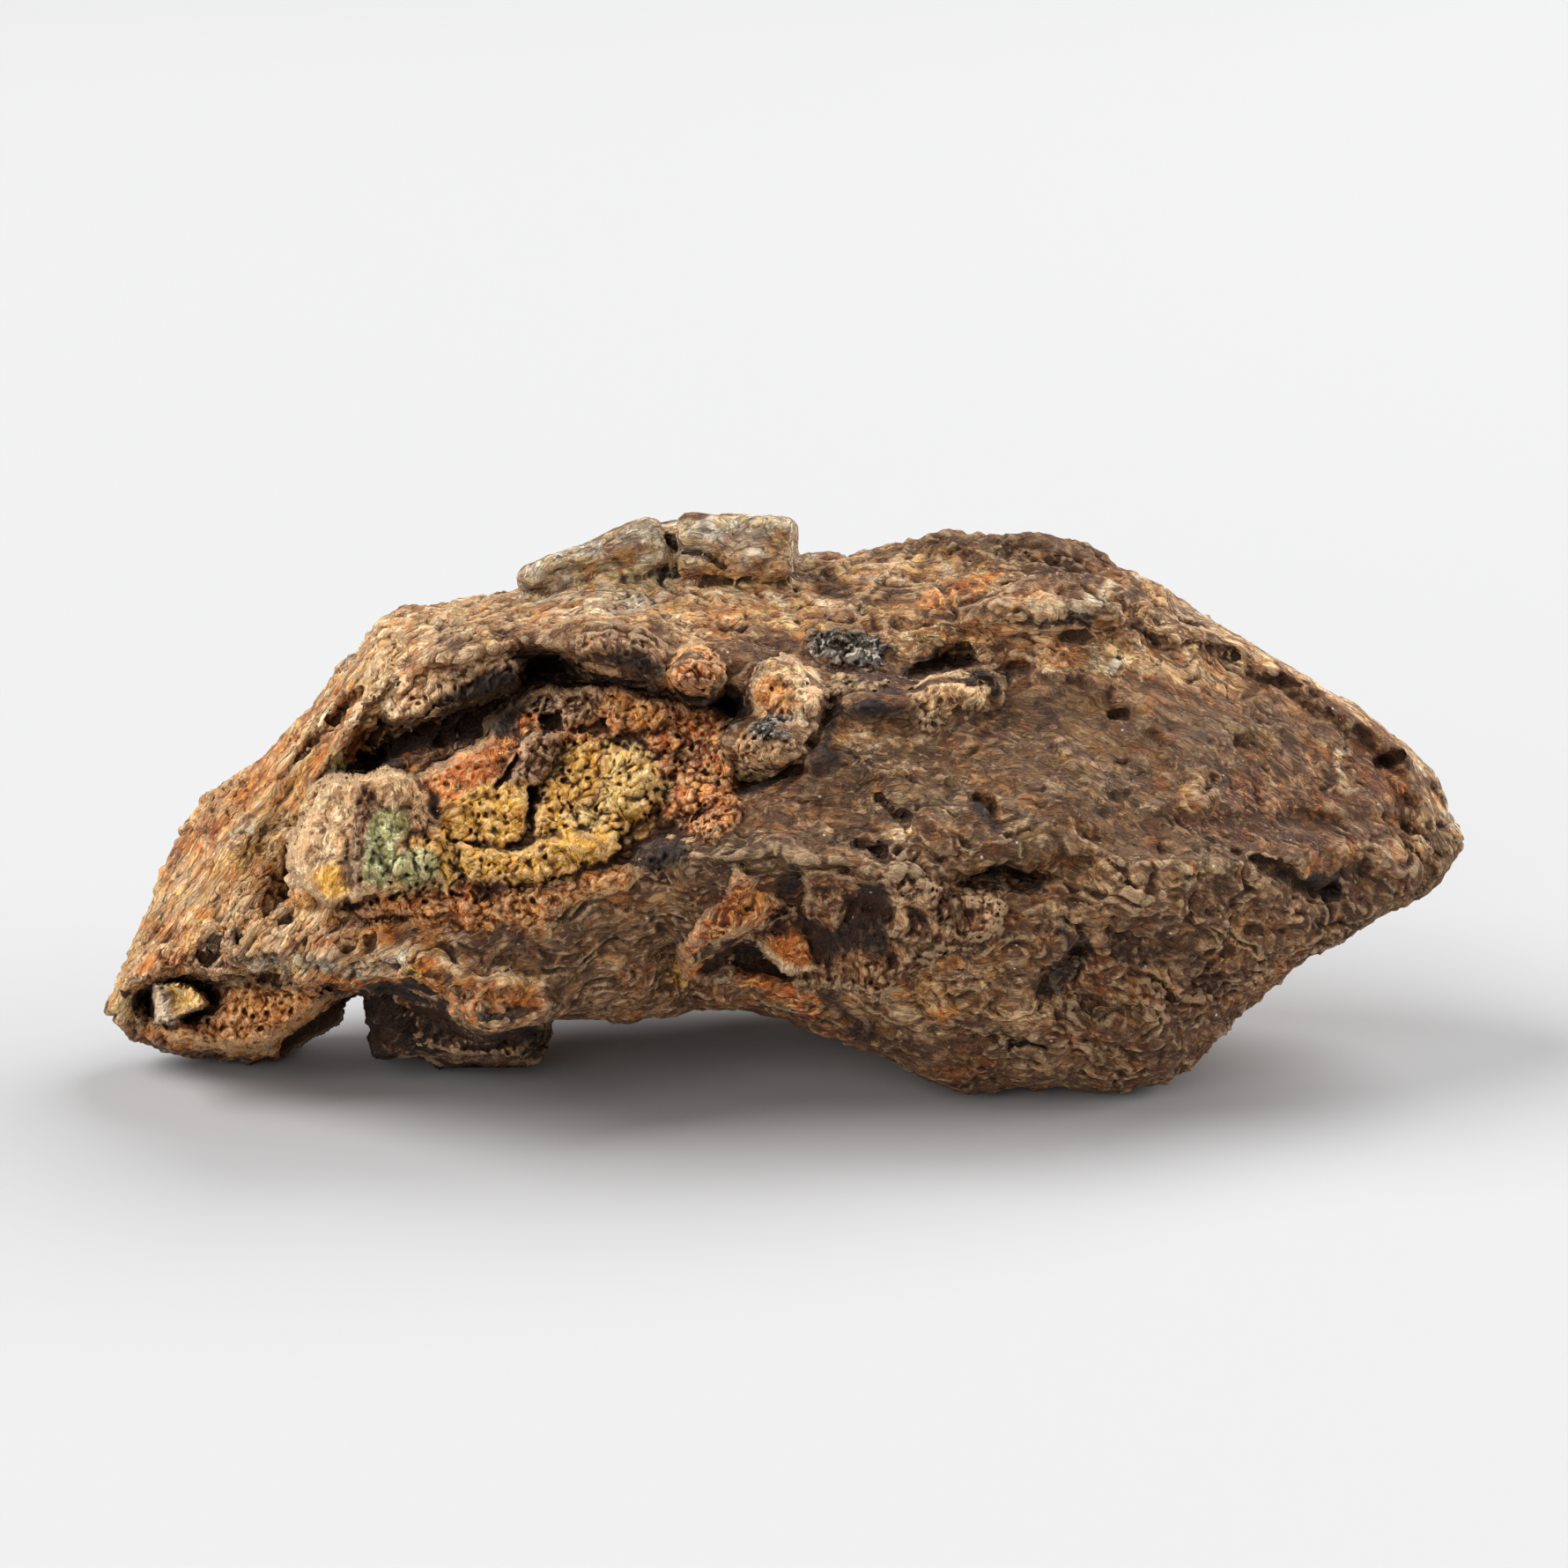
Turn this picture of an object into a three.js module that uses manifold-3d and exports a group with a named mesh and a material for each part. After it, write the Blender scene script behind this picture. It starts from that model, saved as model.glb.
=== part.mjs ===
// A weathered pallasite fragment: one stone of iron and olivine, rusted through, lying on two feet.
// It is a loft of nine lines that run from tip to tip, pushed in and out along strokes, and then cut
// and joined where a crack, a pit or a slab has a sharp edge. Lengths are millimetres. The stone is
// drawn in the frame of its broad face: +X along it to the right, +Y through it to the back and +Z up
// the face. It is leaned back last.
import * as THREE from "three";
import { mergeVertices } from "three/addons/utils/BufferGeometryUtils.js";
import Module from "manifold-3d";

const LENGTH = 60; // tip to tip
const LEAN = THREE.MathUtils.degToRad(15); // how far the broad face leans back from upright
const GROUND = 0.78; // height of the surface that it stands on, before it is moved to z = 0
const LEFT_TIP = [-29.9, 0, 3.6];
const RIGHT_TIP = [30, 2, 11.5];

const wasm = await Module();
wasm.setup();

// ---- Rough surface -------------------------------------------------------------------------

// A repeatable number from 0 to 1 for each corner of a unit grid.
function cornerValue(i, j, k, seed) {
  const mixed = Math.sin(i * 127.1 + j * 311.7 + k * 74.7 + seed * 53.3) * 43758.5453;
  return mixed - Math.floor(mixed);
}

// Smooth noise from -1 to 1, with lumps about one unit across.
function noise(x, y, z, seed) {
  const cell = [x, y, z].map(Math.floor);
  const part = [x - cell[0], y - cell[1], z - cell[2]].map((f) => f * f * (3 - 2 * f));
  let sum = 0;
  for (let corner = 0; corner < 8; corner++) {
    const step = [corner & 1, (corner >> 1) & 1, (corner >> 2) & 1];
    const weight = step.reduce((w, s, axis) => w * (s ? part[axis] : 1 - part[axis]), 1);
    sum += weight * cornerValue(cell[0] + step[0], cell[1] + step[1], cell[2] + step[2], seed);
  }
  return 2 * sum - 1;
}

// Two sizes of lump on top of each other.
function roughness(p, size, seed) {
  return (
    0.65 * noise(p.x / size, p.y / size, p.z / size, seed) +
    0.35 * noise((2.3 * p.x) / size, (2.3 * p.y) / size, (2.3 * p.z) / size, seed + 7)
  );
}

// Moves each corner of a closed geometry along its own normal, by up to height.
function roughen(geometry, height, size, seed) {
  const closed = onlyPositions(geometry);
  closed.computeVertexNormals();
  const at = closed.getAttribute("position");
  const out = closed.getAttribute("normal");
  const p = new THREE.Vector3();
  for (let i = 0; i < at.count; i++) {
    p.fromBufferAttribute(at, i);
    const rise = height * roughness(p, size, seed);
    at.setXYZ(i, p.x + out.getX(i) * rise, p.y + out.getY(i) * rise, p.z + out.getZ(i) * rise);
  }
  closed.deleteAttribute("normal");
  return closed;
}

function onlyPositions(geometry) {
  const bare = geometry.clone();
  bare.deleteAttribute("normal");
  bare.deleteAttribute("uv");
  return mergeVertices(bare, 1e-3);
}

function solid(geometry) {
  const closed = onlyPositions(geometry);
  const triVerts = new Uint32Array(closed.index.array);
  const vertProperties = closed.getAttribute("position").array;
  return new wasm.Manifold(new wasm.Mesh({ numProp: 3, vertProperties, triVerts }));
}

// ---- The body ------------------------------------------------------------------------------

// Nine lines from tip to tip, in order round the stone, as points [x, y, z].
const LINES = {
  crest: [
    [-28.6, 0.5, 6.8],
    [-26.2, 1, 11.7],
    [-22.7, 1, 15.1],
    [-18.8, 1, 19.5],
    [-17, 1, 21.2],
    [-15, 1.5, 21.5],
    [-10.9, 2.5, 22.4],
    [-6.6, 3.5, 24.4],
    [-3, 4, 24.8],
    [-0.6, 4, 24.7],
    [0.9, 3.5, 23.8],
    [3, 3.5, 23.6],
    [7.2, 3, 24.5],
    [14, 2.5, 23.5],
    [16.1, 2, 22.6],
    [20, 1, 20.3],
    [23.9, 1, 18],
    [27.4, 1.5, 15.9],
    [29.2, 2, 14.0],
  ],
  brow: [
    [-28.6, -1, 6],
    [-26.2, -0.8, 10.3],
    [-22.7, -1.5, 13.5],
    [-18.8, -2.5, 17.6],
    [-15, -3.8, 19.3],
    [-10.3, -4.5, 20.3],
    [-4.9, -3, 21.4],
    [0.6, -2, 21.2],
    [6, -3, 20.6],
    [11.5, -3, 21],
    [16.1, -2.8, 20.2],
    [20, -2.2, 18.3],
    [23.9, -1.5, 16.4],
    [27.8, -0.3, 14.4],
    [29.5, 1, 12.6],
  ],
  face: [
    [-28.6, -2, 4.8],
    [-26.2, -2.3, 8.6],
    [-22.7, -3.8, 10.8],
    [-18.8, -6, 13],
    [-15, -7.5, 14],
    [-10.3, -8.5, 14.8],
    [-4.9, -8.3, 15.5],
    [0.6, -8, 15.9],
    [6, -8.5, 15],
    [11.5, -8, 15.1],
    [16.1, -7, 15],
    [20, -5.5, 14.3],
    [23.9, -4, 13.5],
    [27.8, -2, 12.4],
    [29.5, 0, 11.8],
  ],
  belt: [
    [-28.6, -2.2, 4.2],
    [-26.2, -3.8, 6],
    [-22.7, -6.3, 6.2],
    [-18.8, -8.8, 6.8],
    [-15, -9.8, 8.2],
    [-10.3, -11, 8.9],
    [-4.9, -11.2, 10.2],
    [0.6, -11.3, 10.4],
    [6, -11.3, 9.8],
    [11.5, -11, 9.2],
    [16.1, -10, 9.2],
    [20, -8.3, 9.2],
    [23.9, -6.3, 9.3],
    [27.8, -3, 9.6],
    [29.5, -0.3, 10.8],
  ],
  keel: [
    [-28.6, -1.6, 3],
    [-26.2, -3, 3.2],
    [-22.7, -4.3, 3],
    [-18.8, -7, 4.4],
    [-15, -8.6, 4.9],
    [-12.6, -9, 3.4],
    [-10.3, -8.6, 4.2],
    [-4.9, -8.8, 5.4],
    [0.6, -8, 5.4],
    [6, -7.6, 3.6],
    [11.5, -7.6, 3.2],
    [16.1, -7, 3.2],
    [20, -5.8, 5.2],
    [23.9, -4.2, 7],
    [27.8, -1.6, 8.7],
    [29.5, 0.5, 10.2],
  ],
  sole: [
    [-28.6, -0.3, 2.3],
    [-26.2, 0, 1.7],
    [-22.3, 1.5, 1.1],
    [-20.2, 0, 2.7],
    [-18.8, -2.5, 4.1],
    [-15, -4, 4.6],
    [-10.3, -4, 3.8],
    [-4.9, -4.5, 3.6],
    [-1.4, -4.5, 4],
    [0.6, -4.5, 3.5],
    [3.3, -4, 2.4],
    [6.8, -3.5, 0.8],
    [11.5, -3, 0.1],
    [15, -2.5, 0.1],
    [17.3, -2.5, 0.9],
    [18.8, -2.5, 2.2],
    [20, -2.5, 3.6],
    [23.1, -2, 5.8],
    [26.2, -0.5, 7.7],
    [28.6, 1, 9],
    [29.7, 2, 10.3],
  ],
  heel: [
    [-28.6, 1.4, 2.8],
    [-26.2, 2.6, 2.2],
    [-22.7, 4, 2],
    [-18.8, 4, 4.5],
    [-15, 4.5, 5.6],
    [-10.3, 5.5, 6],
    [-4.9, 6.5, 5.6],
    [0.6, 7, 4.2],
    [6.8, 7.5, 3.4],
    [11.5, 7.5, 3.1],
    [15, 7, 3.2],
    [18.8, 6, 5],
    [23.1, 5, 6.6],
    [27.8, 4, 9],
    [29.5, 3, 10.6],
  ],
  back: [
    [-28.6, 2, 4.6],
    [-26.2, 3.6, 6.5],
    [-22.7, 5.8, 8.2],
    [-18.8, 7.8, 10.5],
    [-15, 9, 11.5],
    [-10.3, 10, 12.5],
    [-4.9, 11, 13],
    [0.6, 11.5, 12.5],
    [6, 11, 12.3],
    [11.5, 10.5, 12],
    [16.1, 9.6, 12],
    [20, 8.6, 12],
    [23.9, 7, 12],
    [27.8, 5, 12],
    [29.5, 3.4, 11.8],
  ],
  shoulder: [
    [-28.6, 1.5, 6],
    [-26.2, 3, 9.8],
    [-22.7, 4.6, 13],
    [-18.8, 6, 16.5],
    [-15, 7, 18.2],
    [-10.3, 7.8, 19.5],
    [-4.9, 8.5, 21],
    [0.6, 8.5, 20.5],
    [6, 8, 20.5],
    [11.5, 7.5, 20],
    [16.1, 6.8, 19],
    [20, 6, 17.5],
    [23.9, 5, 15.8],
    [27.8, 4, 14],
    [29.5, 3.2, 12.8],
  ],
};

// ---- Strokes -------------------------------------------------------------------------------

// What has been worn into a face or stands out of it. A stroke follows a path of points [x, z] on the
// front (side -1) or the back (side 1), reaches width to each side, and pushes the skin by
// [x, y, z] there. Its top is flat over the share flat of its width.
const STROKES = [
  // the big hollow: its two chambers, the slot under the brow and its left wall
  { path: [[-15.5, 14.8], [-9, 15], [-3.6, 14.4]], width: 4.3, push: [0, 2.4, 0.5] },
  { path: [[-12.5, 17.4], [-9, 17.9], [-5.5, 17.2], [-2.6, 16.2]], width: 2.1, push: [0, 3.2, 0.7] },
  { path: [[-18.4, 14], [-16.6, 16.2], [-13.8, 17.8]], width: 1.6, push: [0, 2.6, 0.4] },
  { path: [[-9.6, 12.6], [-6, 13.2]], width: 2, push: [0, 0.9, 0] },
  { path: [[-3, 13.8], [-0.8, 13.5]], width: 0.9, push: [0, 1.5, 0.2] },
  // the brow, from the left slope to the broken lumps at its right end
  { path: [[-19.6, 14.6], [-17.2, 18], [-14, 19.6]], width: 1.8, push: [0, -1.5, -0.4] },
  { path: [[-14, 20.2], [-9.5, 20.9], [-5.4, 19.8]], width: 2, push: [0, -1.5, -0.7] },
  { path: [[-3.9, 18.4], [-3.1, 18.1]], width: 1.3, push: [0, -1.7, -0.3], flat: 0.4 },
  { path: [[-0.5, 17.7], [1, 17.2]], width: 1.6, push: [0, -1.5, 0], flat: 0.3 },
  { path: [[-0.8, 15.2], [0.3, 15]], width: 1.5, push: [0, -1.3, 0.1], flat: 0.4 },
  // lumps on the floor of the hollow
  { path: [[-16.2, 14.2], [-13.4, 15.6]], width: 1.5, push: [0, -2, 0], flat: 0.6 },
  { path: [[-11.9, 12.2], [-13.2, 12]], width: 1.2, push: [0, -1.4, 0], flat: 0.3 },
  { path: [[-10.7, 15.2], [-10.9, 12.4]], width: 0.8, push: [0, -0.9, 0] },
  { path: [[-6.9, 14.6], [-5.6, 13.9]], width: 1.5, push: [0, -0.9, 0] },
  { path: [[-15.8, 9.8], [-11.2, 10.2], [-8, 10.4]], width: 1.3, push: [0, -0.9, 0.2] },
  // the knob on its lip, and the crack and the slit round it
  { path: [[-19.5, 9.7], [-18.9, 12.2], [-17.8, 10.4]], width: 1.6, push: [0, -2.6, 0.3], flat: 0.6 },
  { path: [[-19, 17.2], [-20.4, 14.6], [-22, 11], [-21, 8.3]], width: 0.9, push: [0.2, 1.6, 0] },
  { path: [[-20.8, 8], [-18.3, 7.9], [-15.6, 8.2]], width: 0.6, push: [0, 0.9, 0.1] },
  // the left slope: plates that lie over each other
  { path: [[-24.6, 12.4], [-23, 9.4]], width: 1.8, push: [-0.2, -0.7, 0], flat: 0.3 },
  { path: [[-27, 8.8], [-25.2, 7.6]], width: 1.3, push: [0, -0.5, 0], flat: 0.3 },
  { path: [[-21.6, 15.8], [-20.6, 13.8]], width: 1.1, push: [-0.2, -0.6, 0], flat: 0.3 },
  // the ledge at the lower left and the pocket under it
  { path: [[-28, 5.6], [-24, 7], [-15, 6.4], [-10, 4.2]], width: 1.7, push: [0, -1.4, -0.1] },
  { path: [[-27.4, 3.9], [-24.5, 4.4], [-21.2, 4.6]], width: 1.5, push: [0, 2.4, 0.5], flat: 0.3 },
  { path: [[-26.8, 4.3], [-25.8, 4]], width: 0.9, push: [0, -1.3, 0] },
  { path: [[-23.8, 3.4], [-21.2, 3.9]], width: 1, push: [0, -1, 0] },
  { path: [[-16.6, 4.9], [-13.6, 4.4]], width: 1.1, push: [0, 1, 0.5] },
  // the shelf, and the torn hollow with its flakes under it
  { path: [[-3.4, 10.3], [0.4, 10.6], [3.2, 9.9], [6.2, 9.3]], width: 1.3, push: [0, -1.1, 0.1] },
  { path: [[-3.8, 5.6], [-0.6, 6.6], [2.2, 8.2]], width: 2.3, push: [0, 2.2, 0.4] },
  { path: [[-3, 6.9], [-1.2, 7.6], [0.3, 6.4]], width: 0.9, push: [0, -1.7, 0] },
  { path: [[1.8, 8.3], [2.6, 8.1]], width: 1.1, push: [0, -1.5, 0], flat: 0.5 },
  { path: [[2.6, 6.8], [4.6, 7.2]], width: 1.2, push: [0, -1.4, 0], flat: 0.3 },
  // crevices and dents of the right half
  { path: [[6.8, 9], [9.2, 9.3], [12.2, 9.7]], width: 0.9, push: [0, 1.5, 0.4] },
  { path: [[5.6, 18.6], [8, 19.4], [10.2, 18.1]], width: 0.9, push: [0, 1.3, 0.3] },
  { path: [[0.8, 19.6], [4.6, 19.1]], width: 1.5, push: [0, 0.7, 0] },
  { path: [[3, 17.2], [6.4, 16.8]], width: 1.3, push: [0, -0.5, 0], flat: 0.4 },
  { path: [[7.6, 7.4], [10.2, 6.4]], width: 1.6, push: [0, -0.9, 0] },
  { path: [[11.6, 4.8], [13.2, 4.2]], width: 1.5, push: [0, 1.3, 0] },
  { path: [[14.6, 7.2], [16.4, 6.6]], width: 1.3, push: [0, 0.8, 0] },
  { path: [[22.8, 9], [25, 9.4]], width: 1.3, push: [0, 1, 0.2] },
  { path: [[14, 9.6], [18.5, 10], [22, 10.3]], width: 1.4, push: [0, -0.7, 0] },
  { path: [[15.8, 21.9], [14.4, 19.6]], width: 0.8, push: [0, -0.6, 0] },
  { path: [[12.6, 20.8], [10.8, 16.8]], width: 1.3, push: [0, -0.5, 0] },
  // the rim of the right end
  { path: [[28.8, 14], [29.4, 12], [28.6, 9.8]], width: 1, push: [0.3, -0.8, 0] },
  { path: [[27, 13.6], [27.5, 11.2]], width: 1.2, push: [0, 0.7, 0] },
  // the back: two worn hollows, a ridge between them and a ledge below
  { side: 1, path: [[-12, 15], [-9, 12]], width: 3.6, push: [0, -1.6, 0] },
  { side: 1, path: [[8, 14.4], [12.6, 12]], width: 3.3, push: [0, -1.8, -0.2] },
  { side: 1, path: [[-1, 18], [2.5, 9]], width: 2, push: [0, 0.8, 0] },
  { side: 1, path: [[18, 13], [21, 9.5]], width: 1.8, push: [0, -0.9, 0] },
  { side: 1, path: [[-22, 11], [-18, 7.4]], width: 1.9, push: [0, -0.8, 0.3] },
  { side: 1, path: [[-8, 6.6], [2, 5.8], [12, 5.6]], width: 1.6, push: [0, 0.9, 0] },
  { side: 1, path: [[-8, 21], [3, 19.6], [15, 19.8]], width: 2.6, push: [0, 1.7, 0.6] },
];

// The distance from (x, z) to a path.
function distanceTo(path, x, z) {
  const here = new THREE.Vector2(x, z);
  const near = new THREE.Vector2();
  let least = Infinity;
  for (let i = 1; i < path.length; i++) {
    const [a, b] = [new THREE.Vector2(...path[i - 1]), new THREE.Vector2(...path[i])];
    const along = b.clone().sub(a);
    const share = THREE.MathUtils.clamp(here.clone().sub(a).dot(along) / along.lengthSq(), 0, 1);
    near.copy(a).addScaledVector(along, share);
    least = Math.min(least, near.distanceTo(here));
  }
  return least;
}

const WANDER = 0.22; // how far the edge of a stroke strays, as a share of its width

// Pushes the skin along every stroke, where it faces the stroke's side.
function work(geometry) {
  geometry.computeVertexNormals();
  const at = geometry.getAttribute("position");
  const out = geometry.getAttribute("normal");
  for (let i = 0; i < at.count; i++) {
    const start = new THREE.Vector3().fromBufferAttribute(at, i);
    const end = start.clone();
    for (const { side = -1, path, width, push, flat = 0 } of STROKES) {
      const facing = THREE.MathUtils.smoothstep(side * out.getY(i), -0.1, 0.4);
      const wander = WANDER * width * noise(start.x / 1.7, width, start.z / 1.7, 3);
      const far = distanceTo(path, start.x, start.z) + wander;
      const share = facing * (1 - THREE.MathUtils.smoothstep(far, flat * width, width));
      end.addScaledVector(new THREE.Vector3(...push), share);
    }
    at.setXYZ(i, end.x, end.y, end.z);
  }
  return geometry;
}

// ---- The loft ------------------------------------------------------------------------------

const AROUND = 60; // steps round a section
const ALONG = 62; // steps from tip to tip

// The section of the stone at x, as a closed curve through its nine lines.
function section(lines, x) {
  const points = lines.map((line) => {
    const [y, z] = line.evaluate(x);
    return new THREE.Vector3(x, y, z);
  });
  return new THREE.CatmullRomCurve3(points, true, "catmullrom", 0.4);
}

function body() {
  const lines = Object.values(LINES).map((points) => {
    const all = [LEFT_TIP, ...points, RIGHT_TIP];
    const along = all.map((p) => p[0]);
    const across = all.flatMap((p) => [p[1], p[2]]);
    return new THREE.CubicInterpolant(along, across, 2);
  });
  const ball = new THREE.SphereGeometry(1, AROUND, ALONG);
  const at = ball.getAttribute("position");
  for (let row = 0; row <= ALONG; row++) {
    const even = row / ALONG;
    const bunched = (1 - Math.cos(Math.PI * even)) / 2; // closer rows at the tips
    const x = THREE.MathUtils.lerp(LEFT_TIP[0], RIGHT_TIP[0], 0.65 * even + 0.35 * bunched);
    const ring = section(lines, x);
    for (let column = 0; column <= AROUND; column++) {
      const p = ring.getPoint(((AROUND - column) % AROUND) / AROUND);
      at.setXYZ(row * (AROUND + 1) + column, p.x, p.y, p.z);
    }
  }
  return solid(roughen(work(onlyPositions(ball)), 0.4, 2.6, 1));
}


// ---- Sharp cuts and slabs ------------------------------------------------------------------

// A rounded piece of rock, size [x, y, z] from its middle to its sides. Square 2 makes it an egg, and
// 6 a worn block. It is turned about X, then Y, then Z, in degrees, and put at its place.
function chunk({ at, size, turn = [0, 0, 0], square = 2, rough = 0.15, detail = 1 }) {
  const egg = new THREE.IcosahedronGeometry(1, detail);
  const corners = egg.getAttribute("position");
  const p = new THREE.Vector3();
  for (let i = 0; i < corners.count; i++) {
    p.fromBufferAttribute(corners, i);
    const reach = p.toArray().reduce((sum, part) => sum + Math.abs(part) ** square, 0);
    p.multiplyScalar(reach ** (-1 / square)).multiply(new THREE.Vector3(...size));
    corners.setXYZ(i, p.x, p.y, p.z);
  }
  const rock = roughen(egg, rough, 1.6, 1 + at[0]);
  const [rx, ry, rz] = turn.map(THREE.MathUtils.degToRad);
  rock.applyMatrix4(new THREE.Matrix4().makeRotationFromEuler(new THREE.Euler(rx, ry, rz, "ZYX")));
  rock.translate(...at);
  return solid(rock);
}

const CUTS = [
  // the hole at the top of the crack beside the knob
  { at: [-19.1, -4.2, 17.3], size: [0.8, 1.6, 0.5], turn: [0, -40, 0], square: 3 },
  // the hole at the end of the left pocket
  { at: [-28.1, -2.4, 3.9], size: [0.7, 1.2, 0.7] },
  // crevices of the right half
  { at: [9.6, -10.2, 9.5], size: [2.4, 2.4, 0.4], turn: [-10, -8, 0] },
  { at: [8, -5.8, 18.9], size: [2.2, 2, 0.35], turn: [-20, -8, 0] },
  // the recess behind the rust flakes
  { at: [-0.4, -8.4, 5.7], size: [1.8, 2.2, 0.9], turn: [0, -20, 0] },
  // the pit in the right rim
  { at: [26.9, -1.4, 14.5], size: [0.6, 0.9, 0.55] },
  // the crack across the top slab
  { at: [-3.4, 1, 23.7], size: [1.8, 2.6, 0.22], turn: [0, 34, 0] },
];

const JOINS = [
  // the dark block under the left end
  { at: [-16.9, -0.6, 3.7], size: [1.4, 3, 2.1], square: 6, detail: 2 },
  { at: [-12.9, -1, 3.4], size: [2.9, 3.2, 2], turn: [0, 4, 0], square: 4, detail: 3 },
  // the rust flake that curls out of the torn hollow
  { at: [-1.9, -9.2, 7.4], size: [2.4, 1.4, 0.35], turn: [0, -35, 0], detail: 2 },
  // slabs on the crest
  { at: [-4.2, 5.3, 22.2], size: [5.3, 5.4, 2], turn: [-20, -8, 0], square: 3.5, rough: 0.4, detail: 3 },
  { at: [10.4, 5, 21.8], size: [5.6, 5, 1.9], turn: [-20, 6, 0], square: 3, rough: 0.4, detail: 3 },
];

// ---- The stone -----------------------------------------------------------------------------

function geometryOf(made) {
  const { numProp, numVert, vertProperties, triVerts } = made.getMesh();
  const positions = new Float32Array(numVert * 3);
  for (let i = 0; i < numVert; i++) {
    positions.set(vertProperties.subarray(i * numProp, i * numProp + 3), i * 3);
  }
  const geometry = new THREE.BufferGeometry();
  geometry.setAttribute("position", new THREE.BufferAttribute(positions, 3));
  geometry.setIndex(new THREE.BufferAttribute(triVerts, 1));
  return geometry;
}

const joined = JOINS.map(chunk).reduce((a, b) => a.add(b), body());
const upright = CUTS.map(chunk).reduce((a, b) => a.subtract(b), joined);

// Its two feet are worn flat where it lies.
const underside = new THREE.BoxGeometry(2 * LENGTH, LENGTH, 10);
underside.translate(0, 0, GROUND - 5);
const stone = solid(geometryOf(upright).rotateX(-LEAN)).subtract(solid(underside));

const geometry = geometryOf(stone);
geometry.computeBoundingBox();
const { min, max } = geometry.boundingBox;
geometry.translate(-(min.x + max.x) / 2, -(min.y + max.y) / 2, -min.z);
const material = new THREE.MeshStandardMaterial({ color: 0x8a6a45, roughness: 0.9, metalness: 0.1 });
const meteorite = new THREE.Mesh(geometry, material);
meteorite.name = "meteorite";
const part = new THREE.Group();
part.add(meteorite);

export default part;
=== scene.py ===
import itertools

import bmesh
import bpy
import numpy as np
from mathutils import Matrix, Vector
from mathutils.bvhtree import BVHTree


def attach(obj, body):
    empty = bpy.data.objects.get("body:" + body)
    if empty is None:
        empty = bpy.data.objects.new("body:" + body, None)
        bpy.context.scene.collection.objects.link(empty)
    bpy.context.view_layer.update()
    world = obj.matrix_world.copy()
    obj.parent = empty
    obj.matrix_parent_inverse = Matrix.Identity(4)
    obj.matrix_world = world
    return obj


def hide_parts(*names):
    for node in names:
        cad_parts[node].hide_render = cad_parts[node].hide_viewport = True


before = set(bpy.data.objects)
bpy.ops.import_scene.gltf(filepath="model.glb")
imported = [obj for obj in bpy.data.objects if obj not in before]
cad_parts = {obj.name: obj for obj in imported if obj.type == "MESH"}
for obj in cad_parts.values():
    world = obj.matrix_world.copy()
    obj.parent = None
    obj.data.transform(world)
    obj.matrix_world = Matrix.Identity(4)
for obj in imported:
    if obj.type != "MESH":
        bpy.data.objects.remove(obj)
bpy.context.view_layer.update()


# ---- The stone -----------------------------------------------------------------------------
# One weathered lump of iron and olivine, rusted through. Its skin is worked in the frame of its
# broad face, in millimetres: X along it, Y through it to the back, Z up it.

LEAN = np.radians(15)  # how far the broad face leans back from upright
FACE_ORIGIN = np.array([-0.155, -3.095, -0.78])  # the face frame's origin, mm
EYE = np.array([0.2, -163.3, 13.5])  # the eye before the face: forms are placed as they show from it
COARSE_SKIN = 0.2  # spacing of the skin's mesh while it is shaped, mm
FINE_SKIN = 0.125  # spacing of its mesh when the fine relief goes on, mm
HIDDEN_TRIANGLES = 45000  # the side turned away is first thinned to about so many triangles
SKIN_TRIANGLES = 198000  # and then the whole skin to so many


def to_face(points):
    """World metres to face millimetres: shift to the face's origin, then lean forward by LEAN."""
    x, y, z = (points * 1000 - FACE_ORIGIN).T
    c, s = np.cos(LEAN), np.sin(LEAN)
    return np.stack([x, c * y - s * z, s * y + c * z], axis=1)


def to_world(points):
    """Face millimetres to world metres: lean back by LEAN, then shift."""
    x, y, z = points.T
    c, s = np.cos(LEAN), np.sin(LEAN)
    return (np.stack([x, c * y + s * z, c * z - s * y], axis=1) + FACE_ORIGIN) / 1000


def seen(points):
    """X and Z where points show on the upright plane Y = 0 from the eye: their X and Z from the
    eye's, drawn in by how much farther off than the plane they are."""
    nearness = -EYE[1] / (points[:, 1] - EYE[1])
    return EYE[[0, 2]] + (points[:, [0, 2]] - EYE[[0, 2]]) * nearness[:, None]


def behind(here, depth):
    """The reverse: the point at a depth Y that shows at X and Z on the upright plane."""
    across = EYE[[0, 2]] + (here - EYE[[0, 2]]) * ((depth - EYE[1]) / -EYE[1])[:, None]
    return np.stack([across[:, 0], depth, across[:, 1]], axis=1)


def corners_of(mesh):
    points = np.empty(len(mesh.vertices) * 3, dtype=np.float32)
    mesh.vertices.foreach_get("co", points)
    return points.reshape(-1, 3).astype(np.float64)


def put_corners(mesh, points):
    mesh.vertices.foreach_set("co", points.astype(np.float32).ravel())
    mesh.update()


def normals_of(mesh):
    out = np.empty(len(mesh.vertices) * 3, dtype=np.float32)
    mesh.vertex_normals.foreach_get("vector", out)
    return out.reshape(-1, 3).astype(np.float64)


def hashed(cell, seed):
    """A repeatable whole number for each corner of a unit grid: each axis times a large prime,
    joined by exclusive or, and mixed by shifts and multiplications."""
    x, y, z = (cell[:, axis].astype(np.int64).astype(np.uint32) for axis in range(3))
    mixed = x * np.uint32(73856093) ^ y * np.uint32(19349663) ^ z * np.uint32(83492791)
    mixed ^= np.uint32((seed * 2654435761 + 97) % 2**32)
    for shift, factor in ((16, 0x7FEB352D), (15, 0x846CA68B), (16, 0x2C1B3C6D)):
        mixed ^= mixed >> np.uint32(shift)
        mixed *= np.uint32(factor)
    return mixed


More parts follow.
